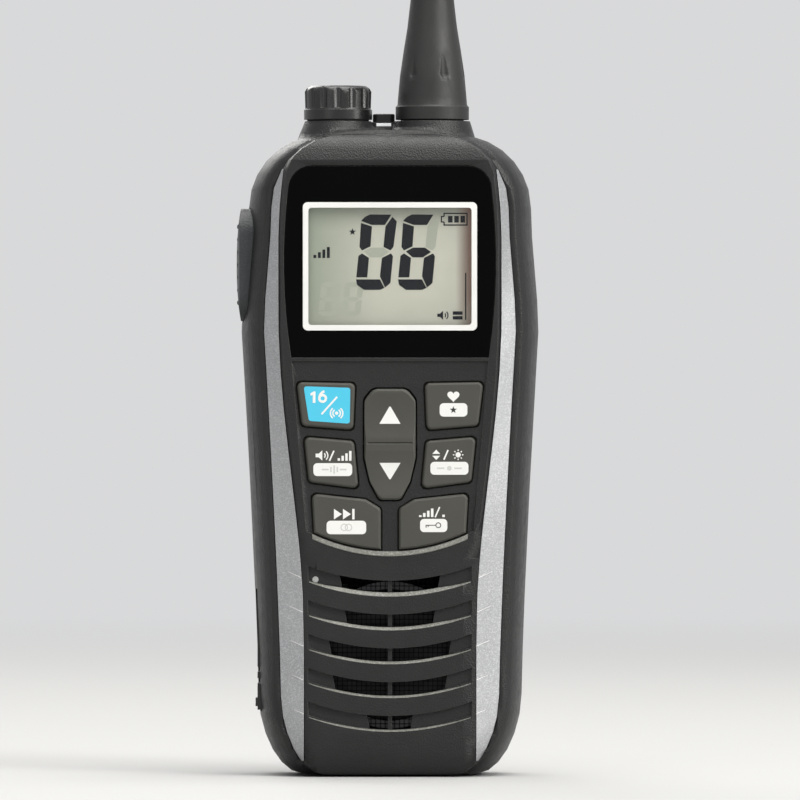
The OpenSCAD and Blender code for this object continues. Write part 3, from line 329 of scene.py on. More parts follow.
def boardFinish():
    # green solder mask over copper lines, with bare pads in places
    s = boardSettings
    material, tree, shader, coords = startMaterial("circuitBoard")
    turned = addNode(tree, "ShaderNodeMapping", {"Vector": coords, "Rotation": (math.pi / 2, 0.0, 0.0)})
    lines = addNode(tree, "ShaderNodeTexBrick", {
        "Vector": turned.outputs[0], "Scale": s["traceScale"], "Mortar Size": s["traceWidth"],
        "Color1": (0, 0, 0, 1), "Color2": (0, 0, 0, 1), "Mortar": (1, 1, 1, 1)})
    traced = mapRange(tree, noiseOf(tree, coords, s["tracePatch"]), *s["traceSpan"], 0.0, 1.0)
    line = calc(tree, "MULTIPLY", lines.outputs["Fac"], traced)
    base = blendColors(tree, line, s["mask"], s["trace"])
    dots = mapRange(tree, cellsOf(tree, coords, s["padScale"]), *s["padEdge"], 1.0, 0.0)
    bare = mapRange(tree, noiseOf(tree, coords, s["padPatch"]), *s["padSpan"], 0.0, 1.0)
    pads = calc(tree, "MULTIPLY", dots, bare)
    tree.links.new(blendColors(tree, pads, base, s["pad"]), shader.inputs["Base Color"])
    tree.links.new(pads, shader.inputs["Metallic"])
    tree.links.new(mapRange(tree, pads, 0.0, 1.0, s["maskRoughness"], s["padRoughness"]),
                   shader.inputs["Roughness"])
    tree.links.new(bumpOf(tree, line, s["traceHeight"] * mm), shader.inputs["Normal"])
    return material


wrapSettings = {"dark": (0.02, 0.06, 0.22), "light": (0.03, 0.09, 0.30), "patchScale": 40.0, "smears": 300.0,
                "roughness": (0.22, 0.36), "creaseScale": 35.0, "creaseBend": 6.0, "creaseDetail": 3.0,
                "creaseHeight": 0.08, "edge": 0.4}


def wrapFinish():
    # shrink film round the battery, with fine creases
    s = wrapSettings
    material, tree, shader, coords = startMaterial("batteryWrap")
    creases = addNode(tree, "ShaderNodeTexWave", {
        "Vector": coords, "Scale": s["creaseScale"], "Distortion": s["creaseBend"],
        "Detail": s["creaseDetail"]}, bands_direction="X")
    base = blendColors(tree, noiseOf(tree, coords, s["patchScale"]), s["dark"], s["light"])
    edges = roundEdges(tree, s["edge"] * mm)[0]
    bump = bumpOf(tree, creases.outputs["Fac"], s["creaseHeight"] * mm, edges)
    tree.links.new(base, shader.inputs["Base Color"])
    tree.links.new(noiseBetween(tree, coords, s["smears"], *s["roughness"]), shader.inputs["Roughness"])
    tree.links.new(bump, shader.inputs["Normal"])
    return material


finishes["lcd_glass"] = lcdFinish()
finishes["clear_window"] = windowFinish()
finishes["circuit_board"] = boardFinish()
finishes["battery_wrap"] = wrapFinish()
print("finishes made,", len(finishes))


# outlines of prints, and the solids made from them

def ring(cx, cz, r, count):
    angles = [2 * math.pi * k / count for k in range(count)]
    return [(cx + r * math.cos(a), cz + r * math.sin(a)) for a in angles]


def box(x0, z0, x1, z1):
    return [(x0, z0), (x1, z0), (x1, z1), (x0, z1)]


def roundBox(x0, z0, x1, z1, r, count=5):
    loop = []
    corners = ((x1 - r, z1 - r, 0), (x0 + r, z1 - r, 90), (x0 + r, z0 + r, 180), (x1 - r, z0 + r, 270))
    for cx, cz, start in corners:
        for k in range(count + 1):
            a = math.radians(start + 90 * k / count)
            loop.append((cx + r * math.cos(a), cz + r * math.sin(a)))
    return loop


def star(cx, cz, r, inner=0.42):
    loop = []
    for k in range(10):
        a = math.pi * k / 5
        reach = r * inner if k % 2 else r
        loop.append((cx + reach * math.sin(a), cz + reach * math.cos(a)))
    return loop[::-1]


def arc(cx, cz, r, start, end, width, count=12):
    # a curved stroke of that width, between two angles in degrees
    angles = [math.radians(start + (end - start) * k / count) for k in range(count + 1)]
    outer, inner = ([(cx + side * math.cos(a), cz + side * math.sin(a)) for a in angles]
                    for side in (r + width / 2, r - width / 2))
    return outer + inner[::-1]


def hoop(cx, cz, r, width, count=20):
    # a stroke that goes round until it all but closes
    return arc(cx, cz, r, 0, 359.9, width, count)


def barRow(x, z, pitch, width, height, rise, count=4):
    # upright bars, each taller than the one before it
    return [box(x + pitch * k, z, x + width + pitch * k, z + height + rise * k) for k in range(count)]


def bar(x0, z0, x1, z1, width):
    # a straight stroke of that width
    d = Vector((x1 - x0, z1 - z0)).normalized()
    nx, nz = -d.y * width / 2, d.x * width / 2
    return [(x0 + nx, z0 + nz), (x0 - nx, z0 - nz), (x1 - nx, z1 - nz), (x1 + nx, z1 + nz)]


def rounded(loop, r, count=4, most=0.45):
    # the loop with its corners rounded to the radius r, each within that share of the sides it joins
    result = []
    size = len(loop)
    for k in range(size):
        a, b, c = (Vector(loop[(k + s) % size]) for s in (-1, 0, 1))
        u, v = (a - b).normalized(), (c - b).normalized()
        t = min(r / math.tan(u.angle(v) / 2), (a - b).length * most, (c - b).length * most)
        start, end = b + u * t, b + v * t
        for i in range(count + 1):
            f = i / count
            result.append(tuple(start * (1 - f) ** 2 + b * 2 * f * (1 - f) + end * f ** 2))
    return result


def addPrism(bm, loop, front, back, index, surface=None):
    # a closed prism; surface(x, z) shifts it in y so that a print follows a curved key
    area = sum(a[0] * b[1] - b[0] * a[1] for a, b in zip(loop, loop[1:] + loop[:1]))
    if area < 0:
        loop = loop[::-1]
    shift = surface or (lambda x, z: 0.0)
    f = [bm.verts.new((x * mm, (front + shift(x, z)) * mm, z * mm)) for x, z in loop]
    b = [bm.verts.new((x * mm, (back + shift(x, z)) * mm, z * mm)) for x, z in loop]
    faces = [bm.faces.new(f), bm.faces.new(b[::-1])]
    size = len(loop)
    for k in range(size):
        n = (k + 1) % size
        faces.append(bm.faces.new((f[n], f[k], b[k], b[n])))
    for face in faces:
        face.material_index = index


def sweepStrip(bm, sections):
    # a closed strip through sections of equal counts
    rows = [[bm.verts.new(tuple(c * mm for c in p)) for p in section] for section in sections]
    size = len(rows[0])
    for a, b in zip(rows, rows[1:]):
        for i in range(size):
            j = (i + 1) % size
            bm.faces.new((a[i], a[j], b[j], b[i]))
    bm.faces.new(rows[0][::-1])
    bm.faces.new(rows[-1])


# dressed copies of the nodes

# node, body, record slot, width of the rounded edges in mm (0 leaves the shader's own rounding), own finish
dressed = [
    ("front_case", "radio", "case_plastic", 0),
    ("rear_case", "radio", "case_plastic", 0),
    ("case_gasket", "radio", "seal_rubber", 0),
    ("trim_left", "radio", "silver_paint", 0.12),
    ("trim_right", "radio", "silver_paint", 0.12),
    ("lens_surround", "radio", "lens_black", 0.1),
    ("lens_border", "radio", "white_print", 0),
    ("display_window", "radio", "clear_window", 0),
    ("lcd_panel", "radio", "lcd_glass", 0.1),
    ("lcd_backlight", "radio", "light_guide", 0.1),
    ("key_mat", "radio", "black_rubber", 0.1),
    ("main_board", "radio", "circuit_board", 0),
    ("shield_can", "radio", "tin_plate", 0.2),
    ("chassis_plate", "radio", "die_cast", 0.1),
    ("battery_pack", "radio", "battery_wrap", 1.2),
    ("battery_pad", "radio", "foam", 0.1),
    ("speaker_frame", "radio", "black_steel", 0.1),
    ("speaker_cone", "radio", "cone_film", 0),
    ("speaker_magnet", "radio", "steel", 0.2),
    ("mic_capsule", "radio", "tin_plate", 0.1),
    ("jack_socket", "radio", "black_steel", 0.15),
    ("antenna_connector", "radio", "gold_plate", 0.12),
    ("power_switch", "radio", "switch_black", 0.1),
    ("status_light", "radio", "light_pipe", 0.06),
    ("ptt_board", "radio", "circuit_board", 0),
    ("ptt_switch", "radio", "steel", 0.1),
    ("usb_board", "radio", "circuit_board", 0),
    ("usb_socket", "radio", "steel", 0.1),
    ("port_hinge_pin", "radio", "steel", 0.1),
    ("clip_inserts", "radio", "brass", 0.1),
    ("case_screws", "radio", "black_steel", 0.12),
    ("key_call", "call", "key_rubber", 0.14),
    ("key_favourite", "favourite", "key_rubber", 0.14),
    ("key_volume", "volume", "key_rubber", 0.14),
    ("key_channel", "channel", "key_rubber", 0.14),
    ("key_scan", "scan", "key_rubber", 0.14),
    ("key_power_level", "power_level", "key_rubber", 0.14),
    ("key_rocker", "rocker", "key_rubber", 0.16),
    ("power_key", "power", "black_rubber", 0.25),
    ("ptt_button", "talk", "black_rubber", 0.15, "talk_rubber"),
    ("cap_seal", "cap_lift", "seal_rubber", 0.1),
    ("jack_cap", "cap", "case_plastic", 0.12, "cap_gloss"),
    ("antenna_seal", "antenna_lift", "seal_rubber", 0.1),
    ("antenna_whip", "antenna", "black_rubber", 0),
    ("port_cover", "port_flap", "black_rubber", 0.15),
]
cleanSettings = {"weld": 0.002, "flat": 0.4, "sharp": 33.0, "treeSharp": 40.0, "bevelAngle": 33.0,
                 "segments": 2}


def openEdges(mesh):
    bm = bmesh.new()
    bm.from_mesh(mesh)
    count = sum(1 for e in bm.edges if len(e.link_faces) != 2)
    bm.free()
    return count


def meshFrom(name, bm):
    mesh = bpy.data.meshes.new(name)
    bm.to_mesh(mesh)
    bm.free()
    return mesh


def cleanCopy(node):
    bm = bmesh.new()
    bm.from_mesh(nodeObjects[node].data)
    bmesh.ops.remove_doubles(bm, verts=bm.verts, dist=cleanSettings["weld"] * mm)
    bmesh.ops.dissolve_limit(bm, angle_limit=math.radians(cleanSettings["flat"]), verts=bm.verts,
                             edges=bm.edges)
    return meshFrom(camelName(node), bm)


def linkPiece(name, mesh):
    piece = bpy.data.objects.new(name, mesh)
    bpy.context.scene.collection.objects.link(piece)
    return piece


def smoothShade(piece, angle=cleanSettings["sharp"]):
    piece.data.shade_smooth()
    piece.data.set_sharp_from_angle(angle=math.radians(angle))
    weighted = piece.modifiers.new("weighted", "WEIGHTED_NORMAL")
    weighted.keep_sharp = True


def plainMesh(piece):
    # the evaluated mesh in place of the modifiers
    graph = bpy.context.evaluated_depsgraph_get()
    result = bpy.data.meshes.new_from_object(piece.evaluated_get(graph))
    piece.modifiers.clear()
    piece.data = result


def dressNode(node, body, slot, edge, finish=None):
    piece = linkPiece(camelName(node), cleanCopy(node))
    startOpen = openEdges(piece.data)
    if edge:
        whole = piece.data.copy()
        bevel = piece.modifiers.new("edges", "BEVEL")
        bevel.width = edge * mm
        bevel.segments = cleanSettings["segments"]
        bevel.limit_method = "ANGLE"
        bevel.angle_limit = math.radians(cleanSettings["bevelAngle"])
        plainMesh(piece)
        if openEdges(piece.data) > startOpen:
            print("  edges left plain on", node)
            piece.data = whole
    piece.data.materials.clear()
    piece.data.materials.append(finishes[finish or slot])
    smoothShade(piece)
    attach(piece, body)
    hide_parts(node)
    return piece


def carve(piece, bm):
    # takes the closed shapes in bm out of a piece
    bmesh.ops.recalc_face_normals(bm, faces=bm.faces)
    cutter = linkPiece("cutter", meshFrom("cutter", bm))
    whole = piece.data.copy()
    piece.modifiers.clear()
    cut = piece.modifiers.new("cut", "BOOLEAN")
    cut.operation = "DIFFERENCE"
    cut.solver = "EXACT"
    cut.object = cutter
    plainMesh(piece)
    bpy.data.objects.remove(cutter)
    if openEdges(piece.data):
        print("  left whole:", piece.name)
        piece.data = whole
    smoothShade(piece)


rockerLine = {"half": 4.25, "low": 62.74, "high": 63.0, "front": -16.0, "floor": -15.3}


def cutRockerLine(piece):
    # the line across the middle of the rocker
    s = rockerLine
    bm = bmesh.new()
    addPrism(bm, box(-s["half"], s["low"], s["half"], s["high"]), s["front"], s["floor"], 0)
    carve(piece, bm)


gripSettings = {
    "count": 6, "first": 291.8, "turn": 31.8, "width": 0.95, "low": 8.6, "high": 12.6, "bite": 0.42,
    "lean": 0.149, "fade": 0.09, "lowRadius": 6.15, "corners": 16,
    # round lower end: depth under low and half width, both in widths
    "lowEnd": ((0.96, 0.25), (0.7, 0.7), (0.35, 0.93), (0.0, 1.0)),
    # upper end: height over high in mm, half width in widths
    "highEnd": ((-1.0, 1.0), (0.0, 0.9), (0.7, 0.5)),
}


def gripSections(angle):
    s = gripSettings
    w = s["width"]
    rows = [(s["low"] - down * w, share * w) for down, share in s["lowEnd"]]
    rows += [(s["high"] + up, share * w) for up, share in s["highEnd"]]
    x0, y0 = shared["antennaAxis"]
    turns = [2 * math.pi * i / s["corners"] for i in range(s["corners"])]
    sections = []
    for z, r in rows:
        out = s["lowRadius"] - s["lean"] * (z - s["low"]) + w - s["bite"] + s["fade"] * max(0.0, z - s["low"])
        sections.append([(x0 + out * math.cos(angle) + r * math.cos(t),
                          y0 + out * math.sin(angle) + r * math.sin(t), shared["roof"] + z) for t in turns])
    return sections


def cutGrips(piece):
    # the shallow finger slots round the foot of the antenna, which die out upwards
    s = gripSettings
    x0, y0 = shared["antennaAxis"]
    spin = Matrix.Rotation(math.radians(s["turn"]), 4, "Z")
    centre = Vector((x0 * mm, y0 * mm, 0.0))
    piece.data.transform(Matrix.Translation(centre) @ spin @ Matrix.Translation(-centre))
    bm = bmesh.new()
    for k in range(s["count"]):
        sweepStrip(bm, gripSections(math.radians(s["first"] + 360.0 / s["count"] * k)))
    carve(piece, bm)


pieces = {row[0]: dressNode(*row) for row in dressed}
cutRockerLine(pieces["key_rocker"])
cutGrips(pieces["antenna_whip"])
for node, piece in pieces.items():
    leftOpen = openEdges(piece.data)
    if leftOpen:
        print("  open edges:", node, leftOpen)
print("nodes dressed,", len(pieces))


printSettings = {"layer": 0.002, "layers": 4}            # prints that cross lie a hair apart


def printPiece(name, body, shapes, surface=None):
    # shapes: finish name, loop, front y, back y
    bm = bmesh.new()
    used = []
    for count, (finish, loop, front, back) in enumerate(shapes):
        if finish not in used:
            used.append(finish)
        lift = printSettings["layer"] * (count % printSettings["layers"])
        addPrism(bm, loop, front - lift, back, used.index(finish), surface)
    piece = linkPiece(name, meshFrom(name, bm))
    for finish in used:
        piece.data.materials.append(finishes[finish])
    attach(piece, body)


# ledges that catch the light, drawn in a lighter copy of the case plastic: a painted highlight

def ledgePiece(name, allSections, finish="case_ledge"):
    bm = bmesh.new()
    for sections in allSections:
        sweepStrip(bm, sections)
    bmesh.ops.recalc_face_normals(bm, faces=bm.faces)
    piece = linkPiece(name, meshFrom(name, bm))
    piece.data.materials.append(finishes[finish])
    smoothShade(piece)
    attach(piece, "radio")


ledgeSettings = {"top": 33.79, "heights": (0.78, 0.62, 0.5, 0.42, 0.36), "half": 15.3, "taper": 6.0,
                 "least": 0.25, "flat": 13.8, "slope": 0.25, "back": -14.69, "steps": 48}


def arcHeight(top, k, x):
    # height of the louvre arcs: the one that is k pitches under top
    radius = shared["louvreRadius"]
    return top - k * shared["louvrePitch"] + radius - math.sqrt(radius ** 2 - x ** 2)


def louvreSections(k, height):
    s = ledgeSettings
    sections = []
    for i in range(s["steps"] + 1):
        x = s["half"] * (2 * i / s["steps"] - 1)
        z = arcHeight(s["top"], k, x)
        lip = shared["face"] + max(0.0, abs(x) - s["flat"]) * s["slope"]
        grown = min(1.0, (s["half"] - abs(x)) / s["taper"])
        tall = height * (s["least"] + (1.0 - s["least"]) * grown)
        sections.append([(x, lip, z), (x, s["back"], z + tall), (x, s["back"], z)])
    return sections


ledgePiece("louvreLedges", [louvreSections(k, h) for k, h in enumerate(ledgeSettings["heights"])])

ridgeSettings = {"top": 34.15, "count": 5, "inner": 15.7, "outer": 19.4, "shorter": 0.3, "width": 0.34,
                 "narrowing": 0.65, "crest": 0.1, "proud": 0.09, "sunk": 0.15, "steps": 24,
                 "rayStart": -50.0}


def ridgeSections(face, side, k):
    # one of the curved lines that run on over a trim, laid along its face
    s = ridgeSettings
    sections = []
    for i in range(s["steps"] + 1):
        x = s["inner"] + (s["outer"] - s["shorter"] * k - s["inner"]) * i / s["steps"]
        z = arcHeight(s["top"], k, x)
        start = Vector((side * x * mm, s["rayStart"] * mm, z * mm))
        hit = face.ray_cast(start, Vector((0.0, 1.0, 0.0)))[0]
        if hit:
            y = hit.y / mm
            w = s["width"] * (1.0 - s["narrowing"] * i / s["steps"])
            corners = [(y + s["sunk"], z + 0.5 * w), (y - s["proud"], z + s["crest"] * w),
                       (y - 0.5 * s["proud"], z - 0.5 * w), (y + s["sunk"], z - 0.5 * w)]
            sections.append([(side * x, *corner) for corner in corners])
    return sections


# the lines over the trims take the lighter silver, a painted highlight
for name, side in (("trim_left", -1), ("trim_right", 1)):
    face = BVHTree.FromObject(pieces[name], bpy.context.evaluated_depsgraph_get())
    ridges = [ridgeSections(face, side, k) for k in range(ridgeSettings["count"])]
    ledgePiece(camelName(name) + "Ridges", ridges, "silver_edge")

fieldSettings = {"radius": 34.4, "centre": 76.7, "half": 14.7, "width": 0.8, "lip": 0.12, "proud": 0.2,
                 "leastProud": 0.005, "fade": 6, "skin": 0.004, "sunk": 0.05, "steps": 48}


def fieldSections():
    # the round lower edge of the keypad field
    s = fieldSettings
    sections = []
    for i in range(s["steps"] + 1):
        x = s["half"] * (2 * i / s["steps"] - 1)
        high = s["centre"] - math.sqrt(s["radius"] ** 2 - x ** 2)
        low = high - s["width"]
        proud = s["proud"] * (1.0 - abs(x / s["half"]) ** s["fade"]) + s["leastProud"]
        skin, sunk = shared["face"] - s["skin"], shared["face"] + s["sunk"]
        corners = [(skin, high), (shared["face"] - proud, low), (skin, low - s["lip"]),
                   (sunk, low - s["lip"]), (sunk, high)]
        sections.append([(x, *corner) for corner in corners])
    return sections


# the keypad field's edge also takes the ledge finish, a painted highlight
ledgePiece("keyFieldLedge", [fieldSections()])
print("ledges laid")


# what the display shows

displaySettings = {"front": -13.245, "back": -13.195, "ghostFront": -13.22, "digitX": (-6.44, 1.52),
                   "digitZ": 91.86, "smallX": (-13.6, -9.2), "smallZ": 86.9, "smallScale": (0.55, 0.45)}
# a box is left, low, right and high, a row of bars is x, z, pitch, width, height, rise and count
displayIcons = {
    "star": (-7.1, 102.85, 0.7),
    "signalBars": (-14.5, 97.9, 0.85, 0.55, 0.6, 0.5, 4),
    "battery": [(10.25, 104.03, 14.6, 104.27), (10.25, 106.23, 14.6, 106.47), (10.13, 104.03, 10.37, 104.7),
                (10.13, 105.8, 10.37, 106.47), (14.48, 104.03, 14.72, 106.47), (9.62, 104.62, 9.86, 105.88),
                (9.62, 104.62, 10.3, 104.84), (9.62, 105.66, 10.3, 105.88)],
    "batteryCells": (11.0, 104.62, 1.18, 0.86, 1.26, 0.0, 3),
    "rules": [(14.22, 86.2, 14.46, 95.1), (11.9, 86.25, 13.75, 86.9), (11.9, 87.15, 13.75, 87.8)],
    "speaker": (9.9, 87.05, 1.7),
}
digitShapes = {
    "a": [(0.95, 13.07), (1.7, 13.83), (2.65, 14.3), (6.72, 14.26), (5.49, 12.31), (2.94, 12.31)],
    "b": [(6.91, 13.83), (7.73, 12.97), (7.1, 8.14), (6.53, 7.48), (5.21, 8.14), (5.59, 12.03)],
    "c": [(6.63, 6.91), (7.01, 6.34), (6.53, 1.33), (5.49, 0.44), (4.55, 2.56), (4.92, 6.06)],
    "d": [(0.0, 1.99), (4.55, 1.99), (5.4, 0.38), (4.55, 0.0), (1.52, 0.0), (0.19, 0.95)],
    "e": [(1.14, 6.91), (2.46, 6.06), (2.14, 2.37), (0.06, 2.37), (0.47, 6.44)],
    "f": [(0.95, 12.69), (3.03, 12.03), (2.75, 8.24), (1.14, 7.48), (0.66, 8.14)],
    "g": [(1.52, 7.29), (2.84, 8.01), (5.11, 8.01), (6.25, 7.2), (4.73, 6.16), (2.75, 6.16)],
}


def speakerSign(cx, cz, h):
    # a small loudspeaker with two sound waves
    loops = [[(cx - 0.55 * h, cz - 0.18 * h), (cx - 0.25 * h, cz - 0.18 * h), (cx + 0.1 * h, cz - 0.5 * h),
              (cx + 0.1 * h, cz + 0.5 * h), (cx - 0.25 * h, cz + 0.18 * h), (cx - 0.55 * h, cz + 0.18 * h)]]
    for k in range(2):
        loops.append(arc(cx + 0.1 * h, cz, (0.28 + 0.26 * k) * h, -48, 48, 0.12 * h, 8))
    return loops


def digitLoops(x0, parts, z0=displaySettings["digitZ"], wide=1.0, tall=1.0):
    return [[(x * wide + x0, z * tall + z0) for x, z in digitShapes[key]] for key in parts]


def displayLoops():
    icons = displayIcons
    tens, units = displaySettings["digitX"]
    loops = digitLoops(tens, "abcdef") + digitLoops(units, "acdefg")
    loops.append(star(*icons["star"]))
    loops += barRow(*icons["signalBars"])
    loops += [box(*edges) for edges in icons["battery"]]
    loops += barRow(*icons["batteryCells"])
    loops += [box(*edges) for edges in icons["rules"]]
    return loops + speakerSign(*icons["speaker"])


def ghostLoops():
    # the segments that are off
    s = displaySettings
    tens, units = s["digitX"]
    loops = digitLoops(tens, "g") + digitLoops(units, "b")
    for x in s["smallX"]:
        loops += digitLoops(x, "abcdefg", s["smallZ"], *s["smallScale"])
    return loops


s = displaySettings
segments = [("lcd_ink", loop, s["front"], s["back"]) for loop in displayLoops()]
segments += [("ghost_ink", loop, s["ghostFront"], s["back"]) for loop in ghostLoops()]
printPiece("displaySegments", "radio", segments)


# signs on the keys

keySettings = {"proud": 0.02, "sunk": 0.06, "markProud": 0.035, "pillRound": 0.75, "insetRound": 0.55}


def heart(cx, cz, size):
    # the well-known heart curve, which is 32 units wide
    loop = []
    for k in range(28):
        t = 2 * math.pi * k / 28
        x = 16 * math.sin(t) ** 3
        z = 13 * math.cos(t) - 5 * math.cos(2 * t) - 2 * math.cos(3 * t) - math.cos(4 * t)
        loop.append((cx + x * size / 32, cz + z * size / 32))
    return loop


def keySigns(name, body, white, marks=(), markFinish="faint_ink", inset=None):
    # white signs, on a blue field where the key has an inset, with the marks on top of them
    top, proud, sunk = shared["keyTop"], keySettings["proud"], keySettings["sunk"]
    lift = proud if inset else 0.0
    shapes = []
    if inset:
        shapes.append(("key_blue", rounded(inset, keySettings["insetRound"]), top - proud, top + sunk))
    shapes += [("white_print", loop, top - proud - lift, top + sunk) for loop in white]
    shapes += [(markFinish, loop, top - keySettings["markProud"] - lift, top + sunk) for loop in marks]
    printPiece(name, body, shapes)


def pill(x0, z0, x1, z1):
    return roundBox(x0, z0, x1, z1, keySettings["pillRound"])


def figureSix(cx, cz, h, width, bowlShare=0.29, stemShare=2.25):
    # a round 6: its bowl and the stroke that comes down to it
    r = h * bowlShare
    middle = cz - h / 2 + r + width / 2
    stem = arc(cx + r * (stemShare - 1), middle, r * stemShare, 180, 108, width, 10)
    return [hoop(cx, middle, r, width, 24), stem]


def sunSign(cx, cz, r, rayStart, rayEnd, width, count=8):
    # a disc with short rays round it
    loops = [ring(cx, cz, r, 20)]
    for k in range(count):
        x, z = math.cos(2 * math.pi * k / count), math.sin(2 * math.pi * k / count)
        loops.append(bar(cx + rayStart * x, cz + rayStart * z, cx + rayEnd * x, cz + rayEnd * z, width))
    return loops


callSettings = {
    "inset": [(-16.35, 73.6), (-7.5, 73.3), (-7.6, 66.5), (-15.35, 67.05)],
    "one": [(-14.62, 70.45), (-14.1, 70.45), (-14.1, 72.62), (-14.48, 72.62), (-15.1, 72.2), (-15.0, 71.8),
            (-14.62, 71.95)],
    "six": (-12.75, 71.52, 2.15, 0.46), "slash": (-12.95, 68.3, -10.0, 71.6, 0.34), "source": (-10.1, 68.5),
    "dot": (0.32, 16), "waves": ((0.72, 60), (1.18, 52)), "waveWidth": 0.26,
}


def callLoops():
    # the number 16, a slash, and a dot that sends out waves both ways
    s = callSettings
    loops = [s["one"]] + figureSix(*s["six"]) + [bar(*s["slash"]), ring(*s["source"], *s["dot"])]
    for r, spread in s["waves"]:
        loops += [arc(*s["source"], r, way - spread, way + spread, s["waveWidth"]) for way in (0, 180)]
    return loops


keySigns("callSigns", "call", callLoops(), inset=callSettings["inset"])

favouriteSettings = {"heart": (12.0, 71.75, 2.3), "pill": (9.4, 67.85, 14.65, 70.4),
                     "star": (12.0, 69.12, 0.72)}
s = favouriteSettings
favouriteWhite = [heart(*s["heart"]), pill(*s["pill"])]
keySigns("favouriteSigns", "favourite", favouriteWhite, [star(*s["star"])], "dark_ink")

volumeSettings = {
    "speaker": (-13.0, 60.5, 1.95), "slash": (-11.45, 59.5, -10.6, 61.4, 0.3),
    "bars": (-9.9, 59.5, 0.72, 0.46, 0.48, 0.46), "pill": (-14.5, 56.6, -7.15, 59.05),
    "pulse": [(-12.9, 57.7, -11.6, 58.0), (-11.3, 57.35, -11.0, 58.35), (-10.7, 57.05, -10.4, 58.65),
              (-10.1, 57.35, -9.8, 58.35), (-9.5, 57.7, -8.2, 58.0)],
}
s = volumeSettings
volumeWhite = speakerSign(*s["speaker"]) + [bar(*s["slash"])] + barRow(*s["bars"]) + [pill(*s["pill"])]
keySigns("volumeSigns", "volume", volumeWhite, [box(*edges) for edges in s["pulse"]])

channelSettings = {
    "arrows": [[(8.0, 60.8), (8.75, 61.6), (9.5, 60.8)], [(8.0, 60.45), (9.5, 60.45), (8.75, 59.65)]],
    "slash": (10.2, 59.7, 11.0, 61.55, 0.3), "sun": (12.9, 60.62, 0.5, 0.7, 1.0, 0.2),
    "pill": (7.65, 56.85, 14.85, 59.3), "dot": (11.25, 58.1, 0.45, 18),
    "leftDash": (8.9, 57.95, 10.3, 58.25), "rightDash": (12.2, 57.95, 13.6, 58.25),
}
s = channelSettings
channelWhite = s["arrows"] + [bar(*s["slash"])] + sunSign(*s["sun"]) + [pill(*s["pill"])]
keySigns("channelSigns", "channel", channelWhite,
         [box(*s["leftDash"]), ring(*s["dot"]), box(*s["rightDash"])])

scanSettings = {
    "arrows": [[(-10.6, 48.4), (-9.1, 49.4), (-10.6, 50.4)], [(-8.9, 48.4), (-7.4, 49.4), (-8.9, 50.4)]],
    "stop": (-7.15, 48.4, -6.7, 50.4), "pill": (-12.0, 45.6, -4.5, 48.15),
    "hoops": [(-8.65, 46.9, 0.62, 0.18), (-7.85, 46.9, 0.62, 0.18)],
}
s = scanSettings
keySigns("scanSigns", "scan", s["arrows"] + [box(*s["stop"]), pill(*s["pill"])],
         [hoop(*sizes) for sizes in s["hoops"]])

levelSettings = {
    "bars": (5.5, 48.85, 0.75, 0.48, 0.35, 0.42), "slash": (8.55, 48.8, 9.4, 50.75, 0.28),
    "single": (9.9, 48.85, 10.38, 49.3), "pill": (5.7, 46.0, 10.85, 48.5), "bow": (9.15, 47.3, 0.46, 0.17),
    "blade": [(6.75, 47.22, 8.72, 47.38), (6.75, 46.85, 6.92, 47.3), (7.15, 46.95, 7.3, 47.3)],
}
s = levelSettings
levelWhite = barRow(*s["bars"]) + [bar(*s["slash"]), box(*s["single"]), pill(*s["pill"])]
keySigns("powerLevelSigns", "power_level", levelWhite,
         [hoop(*s["bow"])] + [box(*edges) for edges in s["blade"]], "dark_ink")


# arrows of the rocker

rockerSettings = {"middle": 62.6, "dish": 30.0, "dishSink": 0.3, "dishShift": 5.4, "proud": 0.02,
                  "sunk": 0.08, "up": (69.75, 66.5), "down": (56.0, 59.1), "half": 2.0, "tip": 0.12}


def rockerSurface(x, z):
    r = rockerSettings
    best = 0.0
    for side in (-1, 1):
        dz = z - r["middle"] - side * r["dishShift"]
        best = max(best, math.sqrt(r["dish"] ** 2 - dz ** 2) - r["dish"] + r["dishSink"])
    return best


def arrowStrips(apexZ, baseZ, count=8):
    # slices of a triangle, so that it can follow the dish
    half, tip = rockerSettings["half"], rockerSettings["tip"]
    loops = []
    for k in range(count):
        t0, t1 = k / count, (k + 1) / count
        z0, z1 = baseZ + (apexZ - baseZ) * t0, baseZ + (apexZ - baseZ) * t1
        w0, w1 = half * (1 - t0) + tip * t0, half * (1 - t1) + tip * t1
        loops.append([(-w0, z0), (w0, z0), (w1, z1), (-w1, z1)])
    return loops


s = rockerSettings
arrows = [("white_print", loop, shared["keyTop"] - s["proud"], shared["keyTop"] + s["sunk"])
          for loop in arrowStrips(*s["up"]) + arrowStrips(*s["down"])]
printPiece("rockerSigns", "rocker", arrows, rockerSurface)
print("signs printed")


# pieces made with geometry nodes

def startTree(name, inputs):
    tree = bpy.data.node_groups.new(name, "GeometryNodeTree")
    tree.interface.new_socket("Geometry", in_out="OUTPUT", socket_type="NodeSocketGeometry")
    for label, kind in inputs:
        tree.interface.new_socket(label, in_out="INPUT", socket_type="NodeSocket" + kind)
    return tree, tree.nodes.new("NodeGroupInput"), tree.nodes.new("NodeGroupOutput")


def endTree(tree, geometry, material, outputNode):
    whole = addNode(tree, "GeometryNodeRealizeInstances", {0: geometry})
    painted = addNode(tree, "GeometryNodeSetMaterial", {"Geometry": whole.outputs[0], "Material": material})
    tree.links.new(painted.outputs[0], outputNode.inputs[0])
    return tree


def treePiece(name, tree, values, body, replaced=()):
    piece = linkPiece(name, bpy.data.meshes.new(name))
    modifier = piece.modifiers.new(name, "NODES")
    modifier.node_group = tree
    for item in tree.interface.items_tree:
        if item.in_out == "INPUT" and item.name in values:
            modifier[item.identifier] = values[item.name]
    plainMesh(piece)
    smoothShade(piece, cleanSettings["treeSharp"])
    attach(piece, body)
    if replaced:
        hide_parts(*replaced)


